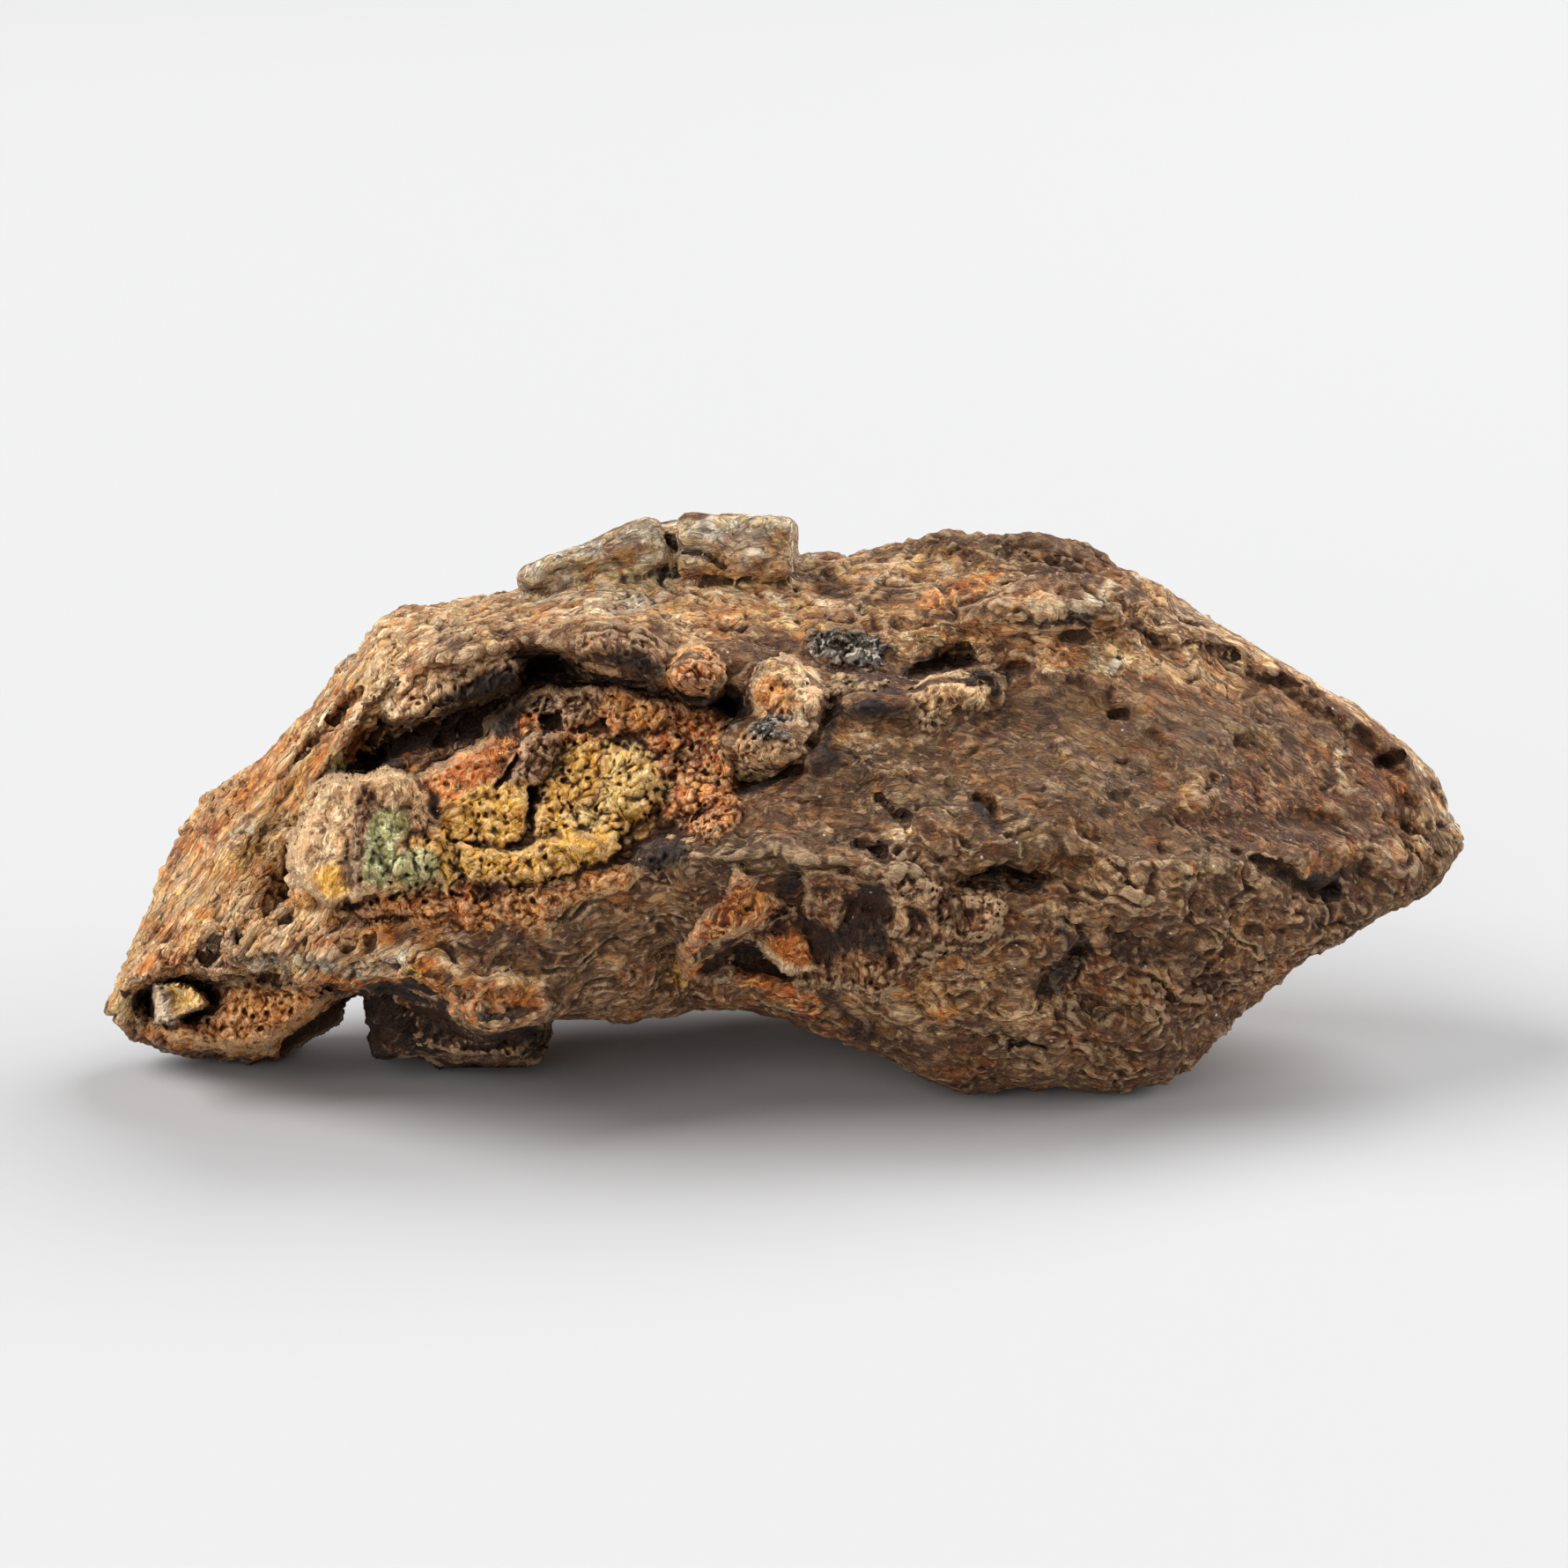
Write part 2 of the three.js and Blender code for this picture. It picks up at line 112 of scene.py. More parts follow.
def fields(mixed):
    """Three numbers from 0 to 1 out of each hash: its low, middle and high ten bits."""
    return np.stack([(mixed >> np.uint32(k)) & np.uint32(1023) for k in (0, 10, 20)], axis=1) / 1023


def noise(points, size, seed):
    """Gradient noise from about -1 to 1, with lumps of that size: at each corner of the cell round
    a point stands a random slope, and the eight are blended by 6t^5 - 15t^4 + 10t^3."""
    scaled = points / size
    cell = np.floor(scaled)
    part = scaled - cell
    blend = part**3 * (part * (part * 6 - 15) + 10)
    total = np.zeros(len(points))
    for corner in itertools.product((0.0, 1.0), repeat=3):
        slope = fields(hashed(cell + corner, seed)) * 2 - 1
        weight = np.prod(np.where(corner, blend, 1 - blend), axis=1)
        total += weight * np.sum(slope * (part - corner), axis=1)
    return total * 1.3


def layered(points, size, seed, layers=4, keep=0.5):
    """Noise on noise: each layer is half as large as the one before, and keep times as high."""
    heights = keep ** np.arange(layers)
    sums = sum(h * noise(points, size / 2**k, seed + k) for k, h in enumerate(heights))
    return sums / heights.sum() * 1.4


def ridged(points, size, seed, layers=3):
    """Sharp crests from 0 to 1: one minus the size of the noise, squared. Each layer is half as
    large as the one before, and stands only on its crests."""
    total = np.zeros(len(points))
    share = np.ones(len(points))
    for k in range(layers):
        crests = (1 - np.abs(noise(points, size / 2**k, seed + k))) ** 2 * share
        total += crests * 0.55**k
        share = np.clip(crests * 1.6, 0, 1)
    return total / sum(0.55**k for k in range(layers))


def billowed(points, size, seed, layers=3):
    """Round lumps from 0 to 1 with sharp creases between them: the size of the noise, in layers."""
    heights = 0.55 ** np.arange(layers)
    lumps = [np.abs(noise(points, size / 2**k, seed + k)) for k in range(layers)]
    return np.clip(2.2 * sum(h * lump for h, lump in zip(heights, lumps)) / heights.sum(), 0, 1)


def cells(points, size, seed):
    """Scattered centres, one to a grid cell: the distance to the nearest and to the second
    nearest, as shares of the cell, and a random number of the nearest."""
    scaled = points / size
    home = np.floor(scaled)
    near = np.full(len(points), 9.0)
    second = near.copy()
    number = np.zeros(len(points))
    for step in itertools.product((-1, 0, 1), repeat=3):
        mixed = hashed(home + step, seed)
        away = np.linalg.norm(home + step + fields(mixed) - scaled, axis=1)
        nearer = away < near
        second = np.where(nearer, near, np.minimum(second, away))
        number = np.where(nearer, (mixed >> np.uint32(5) & np.uint32(4095)) / 4095, number)
        near = np.minimum(near, away)
    return near, second, number


def soft_step(value, low, high):
    """0 below low, 1 above high, and 3t^2 - 2t^3 between them."""
    t = np.clip((value - low) / (high - low), 0, 1)
    return t * t * (3 - 2 * t)


def terraces(height, count):
    """Height cut into count flat treads for each unit, with steep risers."""
    scaled = height * count
    tread = np.floor(scaled)
    return (tread + soft_step(scaled - tread, 0.72, 1.0)) / count


def distance_to(path, here):
    """Distance on the face from places (x, z) to the nearest stretch of a path."""
    least = np.full(len(here), np.inf)
    path = np.array(path, dtype=float)
    starts, ends = (path, path) if len(path) == 1 else (path[:-1], path[1:])
    for start, end in zip(starts, ends):
        along = end - start
        share = np.clip((here - start) @ along / max(along @ along, 1e-9), 0, 1)
        least = np.minimum(least, np.linalg.norm(here - start - share[:, None] * along, axis=1))
    return least


def wander_at(points):
    """The noise by which the edges of strokes stray."""
    return noise(points, 0.9, 5) + 0.5 * noise(points, 0.35, 88)


def stroke(here, wander, path, width, flat=0.0, stray=0.25):
    """The share from 0 to 1 of a stroke along a path on the face: 1 over the share flat of its
    width, and falling to 0 at its width. Its edge strays by a share of the width."""
    share = np.zeros(len(here))
    reach = width * (1 + 2 * stray)
    low, high = np.min(path, axis=0) - reach, np.max(path, axis=0) + reach
    chosen = np.all((here > low) & (here < high), axis=1)
    away = distance_to(path, here[chosen]) + stray * width * wander[chosen]
    share[chosen] = 1 - soft_step(away, flat * width, width)
    return share


def depth_in(outline, here):
    """How deep within an outline on the face places are: the distance to its nearest side, less than
    0 outside. A place is inside where a ray from it crosses an odd number of sides."""
    least = np.full(len(here), np.inf)
    inside = np.zeros(len(here), dtype=bool)
    corners = np.array(outline, dtype=float)
    for start, end in zip(corners, np.roll(corners, -1, axis=0)):
        along = end - start
        share = np.clip((here - start) @ along / (along @ along), 0, 1)
        least = np.minimum(least, np.linalg.norm(here - start - share[:, None] * along, axis=1))
        spans = (start[1] > here[:, 1]) != (end[1] > here[:, 1])
        rise = along[1] if along[1] else 1e-9
        inside ^= spans & (here[:, 0] < start[0] + (here[:, 1] - start[1]) / rise * along[0])
    return np.where(inside, least, -least)


def smoothed(points, edges, rounds):
    """Each point moves halfway to the mean of its neighbours, round after round."""
    a, b = edges.T
    ends = np.concatenate([a, b])
    others = np.concatenate([b, a])
    count = np.bincount(ends, minlength=len(points))[:, None]
    for _ in range(rounds):
        sums = [np.bincount(ends, points[others, axis], len(points)) for axis in range(3)]
        points = 0.5 * points + 0.5 * np.stack(sums, axis=1) / count
    return points


def edges_of(mesh):
    edges = np.empty(len(mesh.edges) * 2, dtype=np.int32)
    mesh.edges.foreach_get("vertices", edges)
    return edges.reshape(-1, 2)


def mesh_of(name, points, faces):
    mesh = bpy.data.meshes.new(name)
    mesh.from_pydata(points.tolist(), [], faces)
    return mesh


def grid_ball(rows, columns):
    """Unit directions on a ball, and its faces: rows of latitude from pole to pole, columns round
    them, with one point at each pole. Quads between rows, triangles at the poles."""
    polar, turn = np.meshgrid(
        np.pi * np.arange(1, rows) / rows, 2 * np.pi * np.arange(columns) / columns, indexing="ij"
    )
    rings = np.stack([np.sin(polar) * np.cos(turn), np.sin(polar) * np.sin(turn), np.cos(polar)], -1)
    points = np.concatenate([[[0, 0, 1]], rings.reshape(-1, 3), [[0, 0, -1]]])
    row, column = np.meshgrid(np.arange(rows - 2), np.arange(columns), indexing="ij")
    a = 1 + row * columns + column
    b = 1 + row * columns + (column + 1) % columns
    quads = np.stack([a, a + columns, b + columns, b], axis=-1).reshape(-1, 4)
    last = len(points) - 1
    first = 1 + np.arange(columns)
    after = 1 + (np.arange(columns) + 1) % columns
    ends = first + (rows - 2) * columns
    ends_after = after + (rows - 2) * columns
    zero = np.zeros(columns, dtype=int)
    top = np.stack([zero, first, after], axis=1)
    bottom = np.stack([zero + last, ends_after, ends], axis=1)
    return points, quads, np.concatenate([top, bottom])


def turned(points, degrees):
    """Turned about X, then Y, then Z, through the origin."""
    for axis, angle in enumerate(np.radians(degrees)):
        i, j = [(1, 2), (2, 0), (0, 1)][axis]
        c, s = np.cos(angle), np.sin(angle)
        u, v = points[:, i].copy(), points[:, j].copy()
        points = points.copy()
        points[:, i], points[:, j] = c * u - s * v, s * u + c * v
    return points


def chunk(at, size, turn, square, rough, grain=1.2):
    """A rounded block: directions on a ball are pushed out until |x|^square + |y|^square +
    |z|^square is 1, stretched to its size, roughened, turned and put in its place."""
    way, quads, fans = grid_ball(36, 50)
    reach = np.sum(np.abs(way) ** square, axis=1) ** (-1 / square)
    points = way * reach[:, None] * size
    points += way * (rough * layered(points + at, grain, 11))[:, None]
    x, y, z = at
    return turned(points, turn) + behind(np.array([[x, z]]), np.array([y])), quads, fans


# Lumps that stand out of the stone with an edge of their own: where, half sizes, turn, how
# square, how rough.
CHUNKS = [
    # the brow's hanging lump, and the crumb at its right end
    ((-7.1, -5.8, 19.2), (2.1, 1.4, 1.0), (-20, 12, 0), 4, 0.4),
    ((-5.4, -6.1, 18.2), (0.45, 0.5, 0.55), (0, 0, 0), 2, 0.2),
    # the crumbly rust ball, the ochre lump and the pitted lump at the hollow's right end
    ((-3.7, -7.2, 18.2), (1.15, 1.1, 1.1), (0, 0, 0), 2, 0.35),
    ((0.2, -6.9, 17.5), (1.5, 0.85, 1.2), (0, 25, 0), 3.2, 0.5),
    ((-0.6, -7.6, 15.3), (1.6, 0.85, 0.95), (0, 10, 0), 3.2, 0.6),
    # the dark block's two halves under the left end
    ((-15.9, -0.3, 3.4), (1.45, 3.0, 1.6), (0, 3, 2), 9, 0.15),
    ((-12.7, -0.6, 2.9), (2.7, 3.2, 1.5), (0, 4, -2), 3.2, 0.6),
    # the smooth oval and the lump under the black crack
    ((4.4, -7.8, 17.0), (1.6, 0.7, 0.5), (0, 2, 0), 2.3, 0.05),
    ((7.6, -7.0, 17.2), (2.2, 0.7, 1.0), (0, -8, 0), 2.6, 0.35),
    # the top slab's slanting wing and its block
    ((-8.1, 0.4, 22.95), (3.3, 2.2, 1.15), (0, -23, 0), 9, 0.12),
    ((-1.9, 0.2, 23.9), (2.55, 2.2, 1.4), (0, 1, 0), 9, 0.12),
    # the crest's ledge
    ((11.6, -3.8, 20.7), (3.6, 1.2, 0.6), (-25, 0, 0), 3, 0.25),
    # the knuckle at the right foot's end
    ((17.2, -2.9, 2.6), (1.4, 1.6, 1.0), (0, -42, 0), 3, 0.25),
]

# What is worn into the front or stands out of it along a path: the path of (x, z), the reach to
# each side, the push (x, y, z) and the flat share of its width.
MARKS = [
    # the deep slots under the brow, and the roll of the brow over them
    ([(-11.2, 18.7), (-9.4, 18.4), (-7, 17.6), (-4.6, 17.2), (-2, 16.8)], 0.75, (0, 2.4, 0.2), 0.4),
    ([(-11.4, 19.3), (-9.2, 19.2)], 0.5, (0, 1.2, 0.1), 0.3),
    ([(-17.6, 17), (-16, 17.1), (-14.6, 17.6), (-12.6, 18.1), (-11.8, 19), (-10, 20), (-8, 20.4)], 1.2,
     (0, -0.8, -0.1), 0.2),
    ([(-18.2, 14.3), (-16.6, 15), (-14.8, 15.9), (-12.6, 16.9)], 0.85, (0, 2.6, 0.2), 0.5),
    ([(-10.4, 16.1), (-9.8, 16.3)], 0.5, (0, 1.2, 0), 0.3),
    # the ridge that runs down from the brow, the crack round the knob, and the notches at its top
    ([(-20.6, 14.2), (-18.8, 15.7), (-17.5, 16.1)], 0.7, (0, -0.9, 0), 0.3),
    ([(-19.4, 13.6), (-20.6, 12.4), (-21.2, 11.6)], 0.3, (0.1, 1.0, 0), 0.3),
    ([(-21.1, 11.7), (-21.5, 11.6)], 0.45, (0.1, 1.2, 0), 0.3),
    ([(-21.7, 10.8), (-21.8, 9.6), (-22.1, 8.8), (-21.7, 8.2)], 0.35, (0.1, 1.2, 0), 0.3),
    ([(-19.3, 8.2), (-18.4, 7.9), (-17.6, 7.7)], 0.32, (0, 1.1, 0.1), 0.3),
    ([(-19.7, 16.3), (-19.3, 17), (-18.6, 17.4)], 0.36, (0, 1.2, 0), 0.3),
    ([(-17.5, 16.4), (-17.1, 16.8)], 0.3, (0, 0.9, 0), 0.2),
    ([(-16.7, 17.6), (-16.6, 17.8)], 0.25, (0, 0.6, 0), 0.2),
    # the cracks between the thin plates of the left slope
    ([(-21.4, 11.7), (-22.6, 11.4), (-23.8, 11.3)], 0.22, (0, 0.5, 0), 0.1),
    ([(-24.9, 12), (-25, 12.3)], 0.25, (0, 0.6, 0), 0.1),
    ([(-22.6, 13.4), (-21.8, 13.9), (-21.2, 14.8)], 0.22, (0, 0.5, 0), 0.1),
    ([(-25.6, 6.4), (-24.2, 6.6), (-23.4, 7.3)], 0.28, (0, 0.5, 0), 0.1),
    ([(-25.6, 6), (-25, 5.8)], 0.35, (0, 0.7, 0), 0.2),
    ([(-24, 6.4), (-23.7, 6.9)], 0.25, (0, 0.6, 0), 0.2),
    ([(-22.8, 5.9), (-22.3, 6)], 0.2, (0, 0.4, 0), 0.1),
    # the left foot's slanting end, and the sharp lip over the left pocket and the dark block
    ([(-19.2, 3.6), (-19.8, 2.6), (-21, 1.8)], 1.1, (-0.5, 0, 0.8), 0.5),
    ([(-28, 5), (-26, 5.4), (-23.2, 4.9), (-21, 4.8), (-18.8, 4.6), (-16.8, 5.2)], 0.5,
     (0, -0.45, -0.1), 0.3),
    ([(-16.4, 5.3), (-14.6, 4.3), (-13.2, 3.3), (-11.4, 3.0), (-10.1, 3.6)], 0.6, (0, -0.9, -0.1),
     0.3),
    ([(-27, 6.9), (-21, 6.3), (-16, 6.7), (-11.5, 5.4)], 0.6, (0, 0.35, 0), 0.1),
    ([(-18.7, 2), (-18.6, 3.7)], 0.9, (0.8, 0, 0), 0.5),
    # the shelf over the torn recess, and the right half's crevices, pits and two broad waves
    ([(-2.6, 10.3), (0, 10.8), (1.6, 10.1), (4, 9.6), (6.2, 9.7)], 0.45, (0, -0.6, 0), 0.3),
    ([(7.2, 8.6), (8.4, 9.2), (10, 9.7), (11.3, 9.2)], 0.34, (0, 1.5, 0.2), 0.3),
    ([(5.9, 18.3), (7.4, 18.9), (8.2, 18.8), (9.8, 18)], 0.36, (0, 2.2, 0.2), 0.3),
    ([(7.4, 19.2), (8.3, 19.3)], 0.5, (0, 1.3, 0), 0.3),
    ([(1.4, 15.2), (2, 16.2), (2.3, 17.2)], 0.35, (0, 1.0, 0), 0.2),
    ([(0.8, 14.4), (1.4, 15.2)], 0.35, (0, 0.9, 0), 0.2),
    ([(-2.2, 13.5), (-0.8, 13.5), (0.6, 14.1)], 0.55, (0, 2.2, 0.2), 0.3),
    ([(-4.4, 11.9), (-3, 12.6)], 0.3, (0, 0.7, 0), 0.1),
    ([(11.6, 20.6), (12.8, 20.7)], 0.3, (0, 0.7, 0), 0.2),
    ([(3.6, 21.2), (4.4, 22)], 0.25, (0, 0.6, 0), 0.2),
    ([(4.4, 12.9), (5.6, 12)], 0.25, (0, 0.8, 0), 0.2),
    ([(3.4, 10.8), (4.4, 10.5), (4.8, 10.1)], 0.35, (0, 0.9, 0), 0.2),
    ([(8.6, 12.9), (9.4, 12.6), (9.4, 12.2)], 0.3, (0, 0.7, 0), 0.2),
    ([(10.4, 11.2), (11, 11.4)], 0.35, (0, 0.6, 0), 0.2),
    ([(7, 10.2), (8.2, 10.4)], 0.25, (0, 0.5, 0), 0.1),
    ([(14.8, 16.5), (15.2, 16.6)], 0.24, (0, 0.8, 0), 0.3),
    ([(14.8, 14.4), (15.4, 14.4)], 0.2, (0, 0.4, 0), 0.2),
    ([(19.1, 13.8), (18.7, 13.2)], 0.2, (0, 0.7, 0), 0.2),
    ([(20, 10.5), (20.3, 10.4)], 0.28, (0, 0.6, 0), 0.3),
    ([(26.5, 14.5), (27.2, 14.7)], 0.36, (0, 1.1, 0), 0.4),
    ([(21, 10.1), (22.4, 9.6), (22.8, 8.9), (24.4, 8.8)], 0.45, (0, 1.0, 0.2), 0.3),
    ([(20.8, 7.1), (22.2, 7)], 0.3, (0, 0.6, 0), 0.2),
    ([(18, 20.8), (18.6, 20.6)], 0.3, (0, 0.7, 0), 0.2),
    ([(10, 17.2), (13, 16.4), (15.6, 14.6)], 2.4, (0, 0.6, 0), 0.3),
    ([(18.2, 12.4), (19.4, 15.6), (21.6, 17.6)], 1.3, (0, -0.4, 0), 0.1),
    # the dimple in the lower right, the arc that stands over it, and the pits round them
    ([(13.6, 5.4), (18, 5.6)], 2.2, (0, 0.8, 0), 0.4),
    ([(12, 5.2), (12.6, 7.2), (14.6, 8.5), (17.4, 8), (19.6, 7.2)], 0.6, (0, -0.5, 0), 0.2),
    ([(12.6, 7.5), (13.3, 7.2)], 0.4, (0, 0.7, 0), 0.3),
    ([(12.4, 5.8), (13.4, 6.2)], 0.4, (0, 0.7, 0), 0.3),
    ([(11.8, 5.2), (11.4, 3.6)], 0.4, (0, 0.7, 0), 0.3),
    ([(10.2, 2.2), (11.6, 2)], 0.3, (0, 0.8, 0), 0.3),
    ([(12.8, 2.3), (14, 2.1)], 0.3, (0, 0.7, 0), 0.3),
    # the ridge of the right end, the slope that falls back behind it, and the fold under it
    ([(16.2, 21), (17.4, 20.1), (20.3, 19.5), (23.4, 18), (25, 16.6), (27.4, 14.8), (28.2, 12.8),
      (28.3, 10.8)], 0.8, (0.1, -1.0, 0), 0.15),
    ([(17.6, 21.5), (21.2, 19.9), (25.6, 17.3), (28.4, 15), (29.5, 12)], 0.8, (0, 1.2, 0), 0.2),
    ([(15, 10.3), (19, 10), (25, 10.8), (27.8, 9.8)], 0.6, (0, -0.35, 0), 0.2),
    ([(17, 12), (22, 11.9), (27, 11.9)], 0.5, (0, 0.3, 0), 0.1),
    # the crack in the top slab, the steps at its ends, and the rise of the crest beside it
    ([(-5, 24.3), (-4, 23.9), (-3.2, 23.8), (-2.6, 23.3)], 0.24, (0, 1.2, -0.2), 0.3),
    ([(-11, 22.1), (-10.2, 22.1)], 0.25, (0, 0.6, 0), 0.2),
    ([(0.6, 24.2), (0.8, 23.6)], 0.25, (0, 0.5, -0.1), 0.2),
    ([(2, 23.5), (5, 23.2)], 1.2, (0, 0, 0.4), 0.4),
]

# Where the front is pushed in or out as a whole, each by an outline, its push and its bevel.
SLAB = [(-11.2, 22.2), (-9.8, 22.9), (-8, 23.2), (-6, 23.4), (-4.8, 23.9), (-3.8, 23.5), (-2.4, 23),
        (-1.2, 23.2), (0.9, 23.5), (1, 26), (-6, 26), (-11.6, 23)]
HOLLOW_RIM = [(-16.6, 14.4), (-15, 15.9), (-12.4, 17.2), (-11, 18.2), (-8, 17.8), (-4, 17),
              (-2.2, 15.6), (-2, 12.6), (-4, 11.2), (-8, 9.2), (-13, 8.3), (-18.6, 8.1), (-20.6, 8.8),
              (-21.3, 10.4), (-20, 13.2), (-17.8, 14)]
POCKET_RIM = [(-28.6, 4.2), (-27.6, 4.8), (-25.6, 5), (-23.4, 4.6), (-21, 4.2), (-19.2, 4.2),
              (-19.6, 2.6), (-22, 1.8), (-24.6, 2), (-27.2, 2.8), (-28.4, 3.2)]
RECESS_RIM = [(-3.8, 6.2), (-1.8, 9.6), (0.2, 10.2), (5.4, 9), (7.6, 8.4), (9.6, 8.6), (8.6, 6.8),
              (5, 5.6), (3, 4.6), (0.4, 4.8), (-2, 4.9), (-3.8, 5)]
PUSHED = [(SLAB, -0.35, 0.3), (HOLLOW_RIM, 1.2, 0.5), (POCKET_RIM, 1.7, 0.25), (RECESS_RIM, 1.0, 0.5)]

# Ground that the rust left smooth, as strokes: path, reach, flat share.
SMOOTH = [
    ([(3, 17), (5.8, 17)], 0.7, 0.7), ([(-10.5, 22.6), (-5.5, 24.3), (0.4, 24.4)], 1.9, 0.7),
    ([(-26, 9), (-22, 14)], 2, 0.2), ([(12, 16.6), (17, 16)], 3, 0.3),
    ([(18, 21.4), (25.6, 17), (29.2, 12.6)], 0.9, 0.4),
]
# Where each kind of ground lies on the front, as strokes: path, reach, flat share.
SLOPE = [([(-27, 8), (-23, 12), (-19.5, 17)], 3.6, 0.5), ([(-26, 6.8), (-19, 7.2)], 1.8, 0.4)]
CREST = [([(-17, 20.4), (-9, 22.4), (0, 22.6), (12, 22)], 2.8, 0.5)]
FACET = [([(2, 15), (12, 15.2), (24, 13.4)], 4.6, 0.7)]
LOWER = [([(6, 5), (14, 5.4), (22, 8)], 3.9, 0.7)]


def ground(here, wander, front, strokes):
    """How much of one kind of ground each place is: the most of its strokes, on the front alone."""
    share = np.zeros(len(here))
    for path, width, flat, *strength in strokes:
        own = stroke(here, wander, path, width, flat)
        share = np.maximum(share, own * strength[0] if strength else own)
    return share * front


def marked(points, out):
    """The skin pushed along every mark and within every outline, where it faces the front."""
    pushed = points.copy()
    bend = np.stack([0.25 * layered(points, 1.1, 51 + k, layers=3) for k in range(2)], axis=1)
    here = seen(points)
    wander = wander_at(points)
    front = soft_step(-out[:, 1], -0.3, 0.2)
    for outline, push, bevel in PUSHED:
        pushed[:, 1] += soft_step(depth_in(outline, here + bend), 0, bevel) * front * push
    for path, width, push, flat in MARKS:
        share = stroke(here, wander, path, width, flat, stray=0.5) * front
        pushed += share[:, None] * np.array(push)
    return pushed


CREST_LINE = np.array([[-30, 3], [-27, 7], [-23, 12.5], [-18, 18.5], [-13, 21], [-5, 23.2], [5, 23.2],
                       [12, 22.4], [20, 19], [27, 15], [30, 10]], dtype=float)


def along_crest(points):
    """The points with Z counted from the crest's line above them, and X drawn together: noise on
    them lies in streaks that follow the crest."""
    below = points[:, 2] - np.interp(points[:, 0], *CREST_LINE.T)
    return np.stack([points[:, 0] / 2.1, points[:, 1] / 1.2, below], axis=1)


def relief(points, out):
    """The height of the rust's own relief, in mm: folds that follow the crest, flakes in treads,
    thin plates, curled fibres, crevices and pits, each as strong as the kind of ground asks."""
    here = seen(points)
    wander = wander_at(points)
    front = soft_step(-out[:, 1], -0.35, 0.15)
    slope, crest, facet, lower, smooth = (
        ground(here, wander, front, kind) for kind in (SLOPE, CREST, FACET, LOWER, SMOOTH)
    )

    bend = np.stack([noise(points, 2.2, 31 + k) for k in range(3)], axis=1)
    twist = np.stack([noise(points, 0.8, 41 + k) for k in range(3)], axis=1)
    warped = points + 0.8 * bend + 0.25 * twist
    streaked = along_crest(points + 1.1 * bend + 0.22 * twist)

    folds = ridged(streaked, 2.6, 3, layers=4)
    flakes = terraces(0.5 + 0.5 * layered(streaked, 1.3, 5, layers=3), 3)
    lumps = billowed(warped, 1.5, 9, layers=3)
    fibres = ridged(points + 0.4 * bend + 0.4 * twist, 0.55, 27, layers=2)
    splits = soft_step(ridged(streaked, 2.3, 17, layers=2), 0.82, 0.97)
    plate_near, plate_second, plate = cells(streaked, 1.3, 71)
    seams = 1 - soft_step(plate_second - plate_near, 0.0, 0.12)
    pit_near, _, pit_number = cells(warped, 1.3, 23)
    pits = (1 - soft_step(pit_near, 0.1, 0.3)) * (pit_number > 0.6)

    rough = (1 - 0.4 * facet) * (1 - 0.7 * smooth) * (0.7 + 0.3 * front)
    height = 0.2 * layered(points, 4.5, 1, layers=2)
    height += (0.4 - 0.18 * slope) * rough * (folds - 0.45)
    height += (0.25 + 0.25 * slope) * rough * (flakes - 0.5)
    height += (0.12 + 0.16 * lower + 0.08 * crest) * rough * (lumps - 0.5)
    height += (0.12 + 0.05 * facet) * (fibres - 0.5) * (0.15 + 0.85 * rough)
    height -= (0.32 - 0.1 * facet) * rough * splits
    height += (0.14 + 0.14 * slope) * rough * (plate - 0.5)
    height -= (0.08 + 0.08 * slope) * rough * seams
    height -= (0.22 + 0.16 * lower) * rough * pits
    return height


def copied_skin(node):
    """The solid's skin in the face frame, its loose triangles merged."""
    mesh = node.data.copy()
    put_corners(mesh, to_face(corners_of(mesh)))
    work = bmesh.new()
    work.from_mesh(mesh)
    bmesh.ops.remove_doubles(work, verts=work.verts, dist=1e-4)
    work.to_mesh(mesh)
    work.free()
    return mesh


def joined(mesh, shapes):
    """One mesh of a mesh's faces and of closed shapes, each given as points, quads and triangles."""
    points = [corners_of(mesh)]
    faces = [list(face.vertices) for face in mesh.polygons]
    start = len(points[0])
    for corners, quads, fans in shapes:
        points.append(corners)
        faces += (quads + start).tolist() + (fans + start).tolist()
        start += len(corners)
    return mesh_of("stone", np.concatenate(points), faces)


def remeshed(piece, spacing):
    """The piece's mesh made again as even quads round the same body."""
    piece.data.remesh_voxel_size = spacing
    piece.data.remesh_voxel_adaptivity = 0
    bpy.context.view_layer.objects.active = piece
    bpy.ops.object.voxel_remesh()


def triangles_in(mesh):
    return len(mesh.loops) - 2 * len(mesh.polygons)


def thinned(piece, triangles, chosen=None):
    """The piece thinned to a number of triangles, at its chosen corners only where they are given."""
    thinner = piece.modifiers.new("thinner", "DECIMATE")
    thinner.ratio = triangles / triangles_in(piece.data)
    thinner.use_collapse_triangulate = True
    if chosen is not None:
        piece.vertex_groups.new(name="thin").add(chosen.tolist(), 1.0, "REPLACE")
        thinner.vertex_group = "thin"
        thinner.vertex_group_factor = 1e-6  # at 0 the group would be ignored
    evaluated = piece.evaluated_get(bpy.context.evaluated_depsgraph_get())
    mesh = bpy.data.meshes.new_from_object(evaluated)
    piece.modifiers.remove(thinner)
    piece.vertex_groups.clear()
    piece.data = mesh


def give(mesh, name, values):
    """A number or a vector at each corner of a mesh, for its material to read."""
    kind, field = ("FLOAT", "value") if values.ndim == 1 else ("FLOAT_VECTOR", "vector")
    given = mesh.attributes.new(name, kind, "POINT")
    given.data.foreach_set(field, values.astype(np.float32).ravel())


